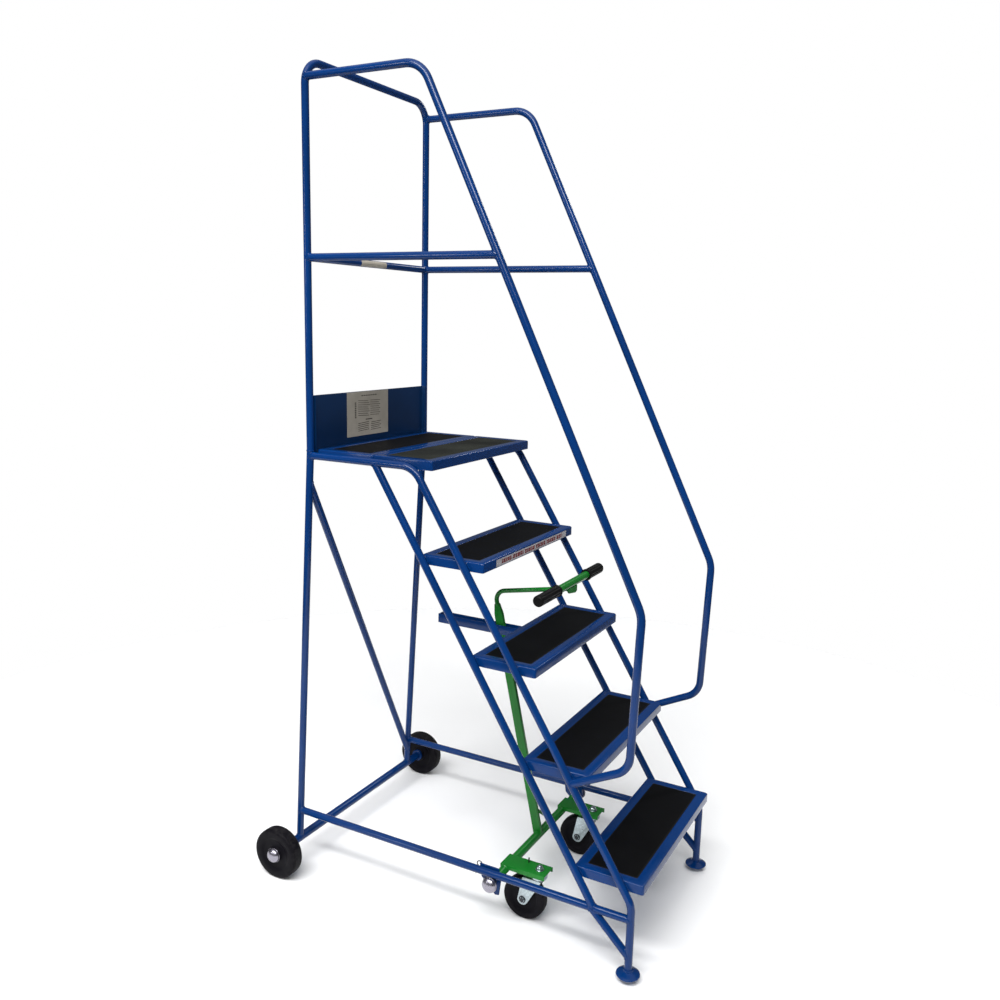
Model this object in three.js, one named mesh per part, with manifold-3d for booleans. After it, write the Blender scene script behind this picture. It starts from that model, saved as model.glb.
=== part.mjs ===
// Mobile warehouse steps: four treads and a platform between two tubular side frames, with handrails,
// two rear wheels, and a lever that lowers a pair of swivel castors under the front.
// Millimetres, +Z up. The climbing side faces -Y; x = 0 is the middle plane.
import * as THREE from "three";
import { mergeVertices } from "three/addons/utils/BufferGeometryUtils.js";
import Module from "manifold-3d";

const wasm = await Module();
wasm.setup();

// ---- driving dimensions -------------------------------------------------
const TUBE_R = 10.25; // frame tubes
const AXLE_TUBE_R = 12.5; // the thicker tubes round both axles
const GAP = 0.3; // room left between pieces that are welded or seated together
const SIDE_X = 287; // half the distance between the side-frame planes

const TREADS = 4;
const FIRST_TREAD_Z = 262;
const RISER = 252;
const PLATFORM_Z = FIRST_TREAD_Z + TREADS * RISER; // 1270
const FIRST_TREAD_Y = -577.5; // front edge of the lowest tread
const GOING = 158;
const TRAY_HALF_WIDTH = SIDE_X - TUBE_R - GAP;
const TRAY_DEPTH = 189;
const TRAY_EDGE = 26;
const TRAY_SHEET = 2.5;
const TRAY_CORNER = 9;
const MAT_RIM = 27; // painted rim round the mat
const MAT_RECESS = 2.5;
const MAT_THICK = 2;

const POST_Y = 448.5;
const DECK_RUN_Z = 1252; // tube along each side of the platform
const HOOP_FOOT_Z = 1266.3;
const HOOP_TOP_Z = 2284;
const HOOP_BEND = 60; // bend radius of its two upper corners
const LEG_SPARE = 20; // extra leg length, trimmed level under the hoop
const HANDRAIL_Z = 2242;
const MID_RAIL_Z = 1787;
const BOTTOM_RAIL_Z = 167;

const STRINGER_SLOPE = 0.6283; // run per unit of rise of both stringers
const FRONT_STRINGER_Y = -549.6; // at the reference height
const REAR_STRINGER_Y = -424;
const STRINGER_REF_Z = 209.6;
const STRINGER_BENDS = [70, 60];
const FRONT_LEG_Y = -552;
const FOOT_BASE_Z = 15; // the feet hang clear of the floor while the castors are down
const FOOT_TOP_Z = 28;
const FOOT_R = 31;
const FOOT_NECK_R = 11;
const FOOT_BRACE_Y = -444; // where it leaves the bottom rail
const FOOT_BRACE_Z = 62.8; // where it meets the front leg
const BRACE_TOP_Z = 1175; // ends of the diagonal between the rear legs
const BRACE_BASE_Z = 128;

const KICK_FRONT_Y = 437;
const KICK_BACK_Y = 451;
const KICK_BASE_Z = PLATFORM_Z - TRAY_EDGE;
const KICK_TOP_Z = 1418;
const KICK_SHEET = 2.5;

const HANDRAIL_BEND_Y = 89.4;
const HANDRAIL_KNEE = [-539.4, 957];
const HANDRAIL_HEEL = [-527.5, 563];
const HANDRAIL_END = [-374, 486.5];
const HANDRAIL_BENDS = [75, 90, 60];

const AXLE_Y = 511;
const WHEEL_R = 75;
const WHEEL_WIDTH = 40;
const WHEEL_INNER_X = 362;
const WHEEL_HUB_R = 21;
const WHEEL_DISH = 5; // depth of the hollow between hub and tyre
const AXLE_R = 9.5;
const AXLE_BORE_R = 9.8;
const CAP_R = 22;
const CAP_HEIGHT = 17;
const CAP_SOCKET = 8; // how deep the axle end sits in the cap
const AXLE_STICKS_OUT = 7; // past the wheel or the bracket

const PIVOT_Y = -153.5;
const PIVOT_Z = 139;
const LEVER_LEAN = THREE.MathUtils.degToRad(12.84);
const LEVER_WIDTH = 12; // across
const LEVER_DEPTH = 25; // fore and aft
const LEVER_LENGTH = 702;
const LEVER_TAPER = 30; // length of its narrowed head
const STRUT_R = 5;
const STRUT_TOP_Z = 218;
const STRUT_FOOT_X = 88;
const HANDLE_ROD_R = 6.6;
const HANDLE_ROD_CORNER = 740; // along the lever from the pivot
const HANDLE_ROD_BEND = 30;
const HANDLE_ROD_END_Z = 905.5;
const HANDLE_BAR_Y = -226.5;
const HANDLE_BAR_Z = 920;
const HANDLE_BAR_R = 11;
const HANDLE_HALF = 200;
const GRIP_R = 15.5;
const GRIPS = [
  { name: "left_grip", inner: -86, outer: -207 },
  { name: "right_grip", inner: 108, outer: 207 },
];

const ARM_X = 186;
const ARM_WIDTH = 56;
const ARM_TOP_Z = 155;
const ARM_LIP_Z = 142;
const ARM_FRONT_Y = -276;
const ARM_REAR_Y = -141.5;
const ARM_SHEET = 3;
const STUD_HOLE_R = 6.3;

const STUD_Y = -249.5;
const CASTOR_Y = -208.5;
const CASTOR_R = 62.5;
const CASTOR_WIDTH = 32;
const CASTOR_HUB_R = 16;
const CASTOR_BORE_R = 5.3;
const RACE_R = 22;
const RACE_TOP_Z = 144;
const FORK_INNER = 18;
const FORK_SHEET = 2.5;
const FORK_CROWN_Z = 130;
const FORK_FRONT_Y = -263;
const FORK_REAR_Y = -207; // of the crown
const FORK_BOSS_R = 16;
const BOLT_R = 5;
const BOLT_HEAD_R = 8;

const BRACKET_SHEET = 4;
const BRACKET_OUTER = SIDE_X - TUBE_R - GAP; // the plate stands against the inner side of the bottom rail
const BRACKET_OUTLINE = [
  [-170, 179],
  [-177, 147],
  [-171, 102],
  [-160, 100],
  [-117, 142],
  [-111, 179],
];
const PIVOT_CAP_X = SIDE_X + 9; // inner face of the pivot caps

const GUIDE_REAR_Y = 195;
const GUIDE_TOP_Z = 765;
const GUIDE_HEIGHT = 27;
const GUIDE_WIDTH = 30;
const GUIDE_WALL = 4;

const ROUND = 16; // sides of a round tube

const BLUE = 0x174a9c;
const GREEN = 0x2c8f3a;
const BLACK = 0x1d1d1f;
const ZINC = 0xb9bec2;

// ---- helpers --------------------------------------------------------------
const v3 = (x, y, z) => new THREE.Vector3(x, y, z);
const X_AXIS = v3(1, 0, 0);
const Y_AXIS = v3(0, 1, 0);
const Z_AXIS = v3(0, 0, 1);
const trayFrontY = (i) => FIRST_TREAD_Y + GOING * i;
const trayTopZ = (i) => FIRST_TREAD_Z + RISER * i;
const stringerY = (atRef, z) => atRef + (z - STRINGER_REF_Z) * STRINGER_SLOPE;
const rearLegY = (z) => POST_Y + ((HOOP_FOOT_Z - z) * (AXLE_Y - POST_Y)) / (HOOP_FOOT_Z - WHEEL_R);

// A route through given points whose extrusion rings fall exactly on those points.
class Route extends THREE.Curve {
  constructor(points, tangents) {
    super();
    this.points = points;
    this.tangents = tangents;
  }
  getPoint(t) {
    const s = t * (this.points.length - 1);
    const i = Math.min(Math.floor(s), this.points.length - 2);
    return this.points[i].clone().lerp(this.points[i + 1], s - i);
  }
  getPointAt(t) {
    return this.getPoint(t);
  }
  getSpacedPoints() {
    return this.points.map((p) => p.clone());
  }
  getTangentAt(t) {
    return this.tangents[Math.round(t * (this.points.length - 1))].clone();
  }
}

// Straight runs between corners, with each inner corner turned into an arc of the given radius.
function bentRoute(corners, radii = [], arcSteps = 5) {
  const points = [corners[0]];
  const tangents = [corners[1].clone().sub(corners[0]).normalize()];
  for (let i = 1; i < corners.length - 1; i++) {
    const a = corners[i].clone().sub(corners[i - 1]).normalize();
    const b = corners[i + 1].clone().sub(corners[i]).normalize();
    const turn = a.angleTo(b);
    const radius = radii[i - 1];
    const start = corners[i].clone().addScaledVector(a, -radius * Math.tan(turn / 2));
    const inward = b.clone().addScaledVector(a, -a.dot(b)).normalize();
    const centre = start.clone().addScaledVector(inward, radius);
    for (let k = 0; k <= arcSteps; k++) {
      const t = (turn * k) / arcSteps;
      const ahead = a.clone().multiplyScalar(Math.cos(t)).addScaledVector(inward, Math.sin(t));
      const outward = a.clone().multiplyScalar(Math.sin(t)).addScaledVector(inward, -Math.cos(t));
      points.push(centre.clone().addScaledVector(outward, radius));
      tangents.push(ahead);
    }
  }
  const last = corners.length - 1;
  points.push(corners[last]);
  tangents.push(corners[last].clone().sub(corners[last - 1]).normalize());
  return new Route(points, tangents);
}

// A closed regular outline, with an optional round bore.
function disc(radius, sides = ROUND, bore = 0) {
  const ring = (r) =>
    Array.from({ length: sides }, (_, k) => {
      const t = (2 * Math.PI * (k + 0.5)) / sides;
      return new THREE.Vector2(r * Math.cos(t), r * Math.sin(t));
    });
  const shape = new THREE.Shape(ring(radius));
  if (bore) shape.holes.push(new THREE.Path(ring(bore).reverse()));
  return shape;
}

function sweep(shape, route) {
  const steps = route.points.length - 1;
  return new THREE.ExtrudeGeometry(shape, { steps, extrudePath: route, bevelEnabled: false });
}

const tube = (route, radius = TUBE_R, sides = ROUND, bore = 0) => sweep(disc(radius, sides, bore), route);
function rod(from, to, radius = TUBE_R, sides = ROUND, bore = 0) {
  return tube(bentRoute([from, to]), radius, sides, bore);
}

// A flat outline given in (u, v), pushed out along the third direction and placed by a matrix.
function plate(points, thickness, basis, origin) {
  const g = new THREE.ExtrudeGeometry(new THREE.Shape(points.map(([u, v]) => new THREE.Vector2(u, v))), {
    depth: thickness,
    bevelEnabled: false,
  });
  return g.applyMatrix4(new THREE.Matrix4().makeBasis(...basis).setPosition(origin));
}
// Outline in (y, z), thickness along +X from x0.
const plateYZ = (points, x0, x1) => plate(points, x1 - x0, [Y_AXIS, Z_AXIS, X_AXIS], v3(x0, 0, 0));
// Outline in (x, y), thickness along +Z from z0.
const plateXY = (points, z0, z1) => plate(points, z1 - z0, [X_AXIS, Y_AXIS, Z_AXIS], v3(0, 0, z0));
const rect = (a0, b0, a1, b1) => [
  [a0, b0],
  [a1, b0],
  [a1, b1],
  [a0, b1],
];
const block = (x0, y0, z0, x1, y1, z1) => plateXY(rect(x0, y0, x1, y1), z0, z1);

// A rectangle with corners rounded by radii in the order (low, low), (high, low), (high, high), (low, high).
function roundedRect(a0, b0, a1, b1, radii, steps = 4) {
  const out = [];
  const corners = [
    [a0, b0, 180],
    [a1, b0, 270],
    [a1, b1, 0],
    [a0, b1, 90],
  ];
  corners.forEach(([a, b, from], i) => {
    const r = radii[i];
    const ca = a + (a === a0 ? r : -r);
    const cb = b + (b === b0 ? r : -r);
    for (let k = 0; k <= steps; k++) {
      const t = THREE.MathUtils.degToRad(from + (90 * k) / steps);
      out.push([ca + r * Math.cos(t), cb + r * Math.sin(t)]);
    }
  });
  return out;
}

// A closed (radius, height) profile turned about the X axis; height runs along +X from x = 0.
function turnedX(profile, at, sides = 24, flip = false) {
  const pts = profile.map(([r, h]) => new THREE.Vector2(r, h));
  pts.push(pts[0].clone());
  const g = new THREE.LatheGeometry(pts, sides);
  g.rotateZ(-Math.PI / 2);
  if (flip) g.rotateY(Math.PI);
  return g.translate(at.x, at.y, at.z);
}
function turnedZ(profile, at, sides = 24) {
  const pts = profile.map(([r, h]) => new THREE.Vector2(r, h));
  pts.push(pts[0].clone());
  return new THREE.LatheGeometry(pts, sides).rotateX(Math.PI / 2).translate(at.x, at.y, at.z);
}

function solid(geometry) {
  const g = geometry.index ? geometry.toNonIndexed() : geometry;
  const bare = new THREE.BufferGeometry().setAttribute("position", g.getAttribute("position"));
  const merged = mergeVertices(bare, 1e-3);
  const s = new wasm.Manifold(
    new wasm.Mesh({
      numProp: 3,
      vertProperties: merged.attributes.position.array,
      triVerts: new Uint32Array(merged.index.array),
    }),
  );
  if (s.volume() > 0) return s;
  const t = new Uint32Array(merged.index.array);
  for (let i = 0; i < t.length; i += 3) [t[i + 1], t[i + 2]] = [t[i + 2], t[i + 1]];
  return new wasm.Manifold(
    new wasm.Mesh({ numProp: 3, vertProperties: merged.attributes.position.array, triVerts: t }),
  );
}
function geometryOf(s) {
  const m = s.getMesh();
  const g = new THREE.BufferGeometry();
  const xyz = new Float32Array(m.numVert * 3);
  for (let i = 0; i < m.numVert; i++)
    for (let k = 0; k < 3; k++) xyz[3 * i + k] = m.vertProperties[m.numProp * i + k];
  g.setAttribute("position", new THREE.BufferAttribute(xyz, 3));
  g.setIndex(new THREE.BufferAttribute(new Uint32Array(m.triVerts), 1));
  const flat = g.toNonIndexed();
  flat.computeVertexNormals();
  return flat;
}
// base less every cutter
function cut(base, ...cutters) {
  let s = solid(base);
  for (const c of cutters) s = s.subtract(solid(c));
  return geometryOf(s);
}
function fuse(first, ...more) {
  let s = solid(first);
  for (const m of more) s = s.add(solid(m));
  return geometryOf(s);
}

const ladder = new THREE.Group();
ladder.name = "rolling_warehouse_ladder";
function add(name, geometry, colour, roughness = 0.45, metalness = 0) {
  const material = new THREE.MeshStandardMaterial({ color: colour, roughness, metalness });
  material.name = name + "_finish";
  const mesh = new THREE.Mesh(geometry, material);
  mesh.name = name;
  ladder.add(mesh);
}

// ---- side frames ----------------------------------------------------------
const sides = [
  { name: "left", x: -SIDE_X, s: -1 },
  { name: "right", x: SIDE_X, s: 1 },
];

// Routes of the tubes in a side-frame plane; the same ones, made fatter, cope the tubes that meet them.
function sideRoutes(x) {
  const p = (y, z) => v3(x, y, z);
  const kneeZ = STRINGER_REF_Z + (FRONT_LEG_Y - FRONT_STRINGER_Y) / STRINGER_SLOPE;
  const frontTopY = stringerY(FRONT_STRINGER_Y, DECK_RUN_Z);
  const legTop = HOOP_FOOT_Z + LEG_SPARE;
  const [kneeY, railKneeZ] = HANDRAIL_KNEE;
  const midRailShare = (MID_RAIL_Z - railKneeZ) / (HANDRAIL_Z - railKneeZ);
  const inclineAtMidRail = kneeY + midRailShare * (HANDRAIL_BEND_Y - kneeY);
  return {
    midRail: bentRoute([p(POST_Y, MID_RAIL_Z), p(inclineAtMidRail, MID_RAIL_Z)]),
    frontStringer: bentRoute(
      [
        p(POST_Y, DECK_RUN_Z),
        p(frontTopY, DECK_RUN_Z),
        p(FRONT_LEG_Y, kneeZ),
        p(FRONT_LEG_Y, FOOT_TOP_Z + GAP),
      ],
      STRINGER_BENDS,
    ),
    rearLeg: bentRoute([p(rearLegY(legTop), legTop), p(AXLE_Y, WHEEL_R)]),
    bottomRail: bentRoute([p(rearLegY(BOTTOM_RAIL_Z), BOTTOM_RAIL_Z), p(FRONT_LEG_Y, BOTTOM_RAIL_Z)]),
    rearStringer: bentRoute([
      p(stringerY(REAR_STRINGER_Y, DECK_RUN_Z), DECK_RUN_Z),
      p(stringerY(REAR_STRINGER_Y, BOTTOM_RAIL_Z), BOTTOM_RAIL_Z),
    ]),
    footBrace: bentRoute([p(FOOT_BRACE_Y, BOTTOM_RAIL_Z), p(FRONT_LEG_Y, FOOT_BRACE_Z)]),
    handrail: bentRoute(
      [
        p(POST_Y, HANDRAIL_Z),
        p(HANDRAIL_BEND_Y, HANDRAIL_Z),
        p(...HANDRAIL_KNEE),
        p(...HANDRAIL_HEEL),
        p(...HANDRAIL_END),
      ],
      HANDRAIL_BENDS,
    ),
  };
}
const hoopRoute = bentRoute(
  [
    v3(-SIDE_X, POST_Y, HOOP_FOOT_Z),
    v3(-SIDE_X, POST_Y, HOOP_TOP_Z),
    v3(SIDE_X, POST_Y, HOOP_TOP_Z),
    v3(SIDE_X, POST_Y, HOOP_FOOT_Z),
  ],
  [HOOP_BEND, HOOP_BEND],
);
const axleTubeRoute = bentRoute([
  v3(-(WHEEL_INNER_X - 2 * GAP), AXLE_Y, WHEEL_R),
  v3(WHEEL_INNER_X - 2 * GAP, AXLE_Y, WHEEL_R),
]);
const fat = (route) => tube(route, TUBE_R + GAP);
const fatAxleTube = () => tube(axleTubeRoute, AXLE_TUBE_R + GAP);

function sideFrame({ name, x }) {
  const r = sideRoutes(x);
  add(`${name}_front_stringer`, cut(tube(r.frontStringer), fat(r.rearLeg)), BLUE);
  const room = 2 * LEG_SPARE;
  const cutZ = HOOP_FOOT_Z - GAP;
  const aboveLeg = block(x - room, POST_Y - room, cutZ, x + room, POST_Y + room, cutZ + room);
  add(`${name}_rear_leg`, cut(tube(r.rearLeg), fatAxleTube(), aboveLeg), BLUE);
  add(`${name}_bottom_rail`, cut(tube(r.bottomRail), fat(r.rearLeg), fat(r.frontStringer)), BLUE);
  add(`${name}_rear_stringer`, cut(tube(r.rearStringer), fat(r.frontStringer), fat(r.bottomRail)), BLUE);
  add(`${name}_foot_brace`, cut(tube(r.footBrace), fat(r.bottomRail), fat(r.frontStringer)), BLUE);
  add(`${name}_handrail`, cut(tube(r.handrail), fat(hoopRoute), fat(r.frontStringer)), BLUE);
  add(`${name}_mid_rail`, cut(tube(r.midRail), fat(hoopRoute), fat(r.handrail)), BLUE);
}

// A domed disc under the front leg.
function foot(x) {
  return turnedZ(
    [
      [0.001, FOOT_BASE_Z],
      [FOOT_R - 2, FOOT_BASE_Z],
      [FOOT_R, FOOT_BASE_Z + 2],
      [FOOT_R, FOOT_BASE_Z + 5],
      [FOOT_R - 6, FOOT_BASE_Z + 9],
      [FOOT_NECK_R + 3, FOOT_BASE_Z + 11.5],
      [FOOT_NECK_R, FOOT_TOP_Z],
      [0.001, FOOT_TOP_Z],
    ],
    v3(x, FRONT_LEG_Y, 0),
  );
}

// ---- rear frame -----------------------------------------------------------
function rearFrame() {
  const legs = sides.map(({ x }) => fat(sideRoutes(x).rearLeg));
  const bottomRails = sides.map(({ x }) => fat(sideRoutes(x).bottomRail));
  const midRails = sides.map(({ x }) => fat(sideRoutes(x).midRail));
  add("rear_hoop", tube(hoopRoute), BLUE);
  const midBar = rod(v3(-SIDE_X, POST_Y, MID_RAIL_Z), v3(SIDE_X, POST_Y, MID_RAIL_Z));
  add("rear_mid_rail", cut(midBar, fat(hoopRoute), ...midRails), BLUE);
  add("rear_axle_tube", tube(axleTubeRoute, AXLE_TUBE_R, ROUND, AXLE_BORE_R), BLUE);
  const top = v3(-SIDE_X, rearLegY(BRACE_TOP_Z), BRACE_TOP_Z);
  const bottom = v3(SIDE_X, rearLegY(BRACE_BASE_Z), BRACE_BASE_Z);
  add("rear_diagonal_brace", cut(rod(top, bottom), ...legs, ...bottomRails, fatAxleTube()), BLUE);
}

// A sheet across the back of the platform, its ends folded forward between the posts.
function kickBoard() {
  const end = SIDE_X - TUBE_R - GAP;
  const inner = end - KICK_SHEET;
  const web = KICK_BACK_Y - KICK_SHEET;
  return plateXY(
    [
      [-end, KICK_FRONT_Y],
      [-inner, KICK_FRONT_Y],
      [-inner, web],
      [inner, web],
      [inner, KICK_FRONT_Y],
      [end, KICK_FRONT_Y],
      [end, KICK_BACK_Y],
      [-end, KICK_BACK_Y],
    ],
    KICK_BASE_Z,
    KICK_TOP_Z,
  );
}

// ---- treads and platform ----------------------------------------------------
// A folded tray, open below, with a shallow seat for its mat.
function tray(frontY, topZ) {
  const w = TRAY_HALF_WIDTH;
  const rearY = frontY + TRAY_DEPTH;
  const outline = roundedRect(-w, frontY, w, rearY, [TRAY_CORNER, TRAY_CORNER, 3, 3]);
  const inside = roundedRect(
    -w + TRAY_SHEET,
    frontY + TRAY_SHEET,
    w - TRAY_SHEET,
    rearY - TRAY_SHEET,
    [TRAY_CORNER - TRAY_SHEET, TRAY_CORNER - TRAY_SHEET, 2, 2],
  );
  const seat = roundedRect(-w + MAT_RIM, frontY + MAT_RIM, w - MAT_RIM, rearY - MAT_RIM, [3, 3, 3, 3], 2);
  return cut(
    plateXY(outline, topZ - TRAY_EDGE, topZ),
    plateXY(inside, topZ - TRAY_EDGE - 1, topZ - MAT_RECESS - TRAY_SHEET),
    plateXY(seat, topZ - MAT_RECESS, topZ + 1),
  );
}
function mat(frontY, topZ) {
  const inset = MAT_RIM + GAP;
  const w = TRAY_HALF_WIDTH - inset;
  const base = topZ - MAT_RECESS + GAP;
  return plateXY(
    roundedRect(-w, frontY + inset, w, frontY + TRAY_DEPTH - inset, [3, 3, 3, 3], 2),
    base,
    base + MAT_THICK,
  );
}
function trays() {
  for (let i = 0; i < TREADS; i++) {
    add(`tread_${i + 1}`, tray(trayFrontY(i), trayTopZ(i)), BLUE);
    add(`tread_${i + 1}_mat`, mat(trayFrontY(i), trayTopZ(i)), BLACK, 0.95);
  }
  ["front", "rear"].forEach((where, k) => {
    const y = trayFrontY(TREADS) + k * (TRAY_DEPTH + GAP);
    add(`platform_${where}_tray`, tray(y, PLATFORM_Z), BLUE);
    add(`platform_${where}_mat`, mat(y, PLATFORM_Z), BLACK, 0.95);
  });
}

// ---- rear wheels ------------------------------------------------------------
// Profile across a wheel, from its bore outwards; h runs from the inner face to the outer face.
function wheelProfile(bore, radius, width, hubR, dish) {
  const e = width * 0.16;
  return [
    [bore, 1],
    [hubR, 1],
    [hubR + 4, dish],
    [radius * 0.72, dish],
    [radius * 0.8, 0],
    [radius - e * 1.1, e * 0.35],
    [radius - e * 0.25, e * 1.4],
    [radius, width * 0.42],
    [radius, width * 0.58],
    [radius - e * 0.25, width - e * 1.4],
    [radius - e * 1.1, width - e * 0.35],
    [radius * 0.8, width],
    [radius * 0.72, width - dish],
    [hubR + 4, width - dish],
    [hubR, width - 1],
    [bore, width - 1],
  ];
}
function capProfile(radius, height, socketR, socket) {
  const steps = 5;
  const dome = Array.from({ length: steps }, (_, k) => {
    const t = (Math.PI / 2) * (k / steps);
    return [radius * Math.cos(t), 2 + (height - 2) * Math.sin(t)];
  });
  return [[socketR, 0], [radius, 0], ...dome, [0.001, height], [0.001, socket], [socketR, socket]];
}
function rearWheels() {
  const reach = WHEEL_INNER_X + WHEEL_WIDTH;
  const end = reach + AXLE_STICKS_OUT;
  add("rear_axle", rod(v3(-end, AXLE_Y, WHEEL_R), v3(end, AXLE_Y, WHEEL_R), AXLE_R), ZINC, 0.35, 1);
  for (const { name, s } of sides) {
    add(
      `${name}_rear_wheel`,
      turnedX(
        wheelProfile(AXLE_BORE_R, WHEEL_R, WHEEL_WIDTH, WHEEL_HUB_R, WHEEL_DISH),
        v3(s * WHEEL_INNER_X, AXLE_Y, WHEEL_R),
        32,
        s < 0,
      ),
      BLACK,
      0.8,
    );
    add(
      `${name}_wheel_cap`,
      turnedX(
        capProfile(CAP_R, CAP_HEIGHT, AXLE_R + GAP, CAP_SOCKET),
        v3(s * (reach + GAP), AXLE_Y, WHEEL_R),
        24,
        s < 0,
      ),
      ZINC,
      0.15,
      1,
    );
  }
}

// ---- castor unit: pivot, arms and lever -------------------------------------
const pivotLine = (x0, x1, radius, bore = 0) =>
  rod(v3(x0, PIVOT_Y, PIVOT_Z), v3(x1, PIVOT_Y, PIVOT_Z), radius, ROUND, bore);

// A plate down the inner side of the bottom rail, with the pivot axle through it.
function pivotBracket(s) {
  const faces = [s * BRACKET_OUTER, s * (BRACKET_OUTER - BRACKET_SHEET)];
  const x0 = Math.min(...faces);
  return cut(
    plateYZ(BRACKET_OUTLINE, x0, x0 + BRACKET_SHEET),
    pivotLine(x0 - 1, x0 + BRACKET_SHEET + 1, AXLE_BORE_R),
  );
}

// An inverted channel welded over the pivot tube, with the castor stud through its top.
function castorArm(x) {
  const h = ARM_WIDTH / 2;
  const inner = h - ARM_SHEET;
  const underside = ARM_TOP_Z - ARM_SHEET;
  return cut(
    block(x - h, ARM_FRONT_Y, ARM_LIP_Z, x + h, ARM_REAR_Y, ARM_TOP_Z),
    block(x - inner, ARM_FRONT_Y - 1, ARM_LIP_Z - 1, x + inner, ARM_REAR_Y + 1, underside),
    pivotLine(x - h - 1, x + h + 1, AXLE_TUBE_R + GAP),
    rod(v3(x, STUD_Y, underside - 1), v3(x, STUD_Y, ARM_TOP_Z + 1), STUD_HOLE_R),
  );
}

const leverPoint = (along) =>
  v3(0, PIVOT_Y + along * Math.sin(LEVER_LEAN), PIVOT_Z + along * Math.cos(LEVER_LEAN));
function leverBar(from, to, grow = 0) {
  const w = LEVER_WIDTH / 2 + grow;
  const d = LEVER_DEPTH / 2 + grow;
  const up = leverPoint(1).sub(leverPoint(0));
  const fore = v3(0, Math.cos(LEVER_LEAN), -Math.sin(LEVER_LEAN));
  return plate(rect(-w, -d, w, d), to - from, [v3(1, 0, 0), fore, up], leverPoint(from));
}
// The lever bar, its head narrowed before and behind to the handle rod.
function leverTube() {
  const up = leverPoint(1).sub(leverPoint(0));
  const fore = v3(0, Math.cos(LEVER_LEAN), -Math.sin(LEVER_LEAN));
  const foot = leverPoint(LEVER_LENGTH - LEVER_TAPER).add(v3(-LEVER_WIDTH, 0, 0));
  const face = LEVER_DEPTH / 2;
  const wedge = (s) => {
    const outline = [
      [s * (face + 2), 0],
      [s * face, 0],
      [s * HANDLE_ROD_R, LEVER_TAPER + 1],
      [s * (face + 2), LEVER_TAPER + 1],
    ];
    return plate(outline, 2 * LEVER_WIDTH, [fore, up, v3(1, 0, 0)], foot);
  };
  return cut(leverBar(0, LEVER_LENGTH), pivotLine(-20, 20, AXLE_TUBE_R + GAP), wedge(-1), wedge(1));
}
function leverStrut() {
  const top = leverPoint(76);
  return cut(
    rod(v3(0, top.y, STRUT_TOP_Z), v3(STRUT_FOOT_X, PIVOT_Y, PIVOT_Z + 8), STRUT_R, 10),
    leverBar(20, 130, GAP),
    pivotLine(STRUT_FOOT_X / 2, STRUT_FOOT_X * 1.5, AXLE_TUBE_R + GAP),
  );
}
function crossbar(radius = HANDLE_BAR_R) {
  const end = (s) => v3(s * HANDLE_HALF, HANDLE_BAR_Y, HANDLE_BAR_Z);
  return rod(end(-1), end(1), radius);
}
// Round bar from the lever head, bent forward and coped to the underside of the crossbar.
function handleRod() {
  const foot = leverPoint(LEVER_LENGTH + GAP);
  const corner = leverPoint(HANDLE_ROD_CORNER);
  const end = v3(0, HANDLE_BAR_Y, HANDLE_ROD_END_Z);
  const bar = tube(bentRoute([foot, corner, end], [HANDLE_ROD_BEND]), HANDLE_ROD_R, 12);
  return cut(bar, crossbar(HANDLE_BAR_R + GAP));
}
// A ribbed sleeve with a closed, rounded end.
function grip({ inner, outer }) {
  const length = Math.abs(outer - inner);
  const bore = HANDLE_BAR_R + GAP;
  const socket = HANDLE_HALF + GAP - Math.abs(inner);
  const profile = [
    [bore, 0],
    [GRIP_R + 1.5, 0],
    [GRIP_R + 1.5, 4],
    [GRIP_R - 0.5, 5],
    [GRIP_R, length * 0.5],
    [GRIP_R, length - 5],
    [GRIP_R - 4, length],
    [0.001, length],
    [0.001, socket],
    [bore, socket],
  ];
  return turnedX(profile, v3(inner, HANDLE_BAR_Y, HANDLE_BAR_Z), 18, outer < 0);
}

// ---- castors ----------------------------------------------------------------
// Fixed head of the castor: nut and stud above the arm, plate and swivel race below it.
function castorHead(x) {
  const underArm = ARM_TOP_Z - ARM_SHEET - GAP;
  return turnedZ(
    [
      [0.001, FORK_CROWN_Z + GAP],
      [19, FORK_CROWN_Z + GAP],
      [RACE_R, FORK_CROWN_Z + 4],
      [RACE_R, RACE_TOP_Z],
      [RACE_R + 2, RACE_TOP_Z + 3],
      [RACE_R + 2, underArm],
      [STUD_HOLE_R - GAP, underArm],
      [STUD_HOLE_R - GAP, ARM_TOP_Z + GAP],
      [12, ARM_TOP_Z + GAP],
      [12, ARM_TOP_Z + 2],
      [9.5, ARM_TOP_Z + 2],
      [9.5, ARM_TOP_Z + 9],
      [5, ARM_TOP_Z + 9],
      [5, ARM_TOP_Z + 13],
      [0.001, ARM_TOP_Z + 13],
    ],
    v3(x, STUD_Y, 0),
    18,
  );
}
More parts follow.
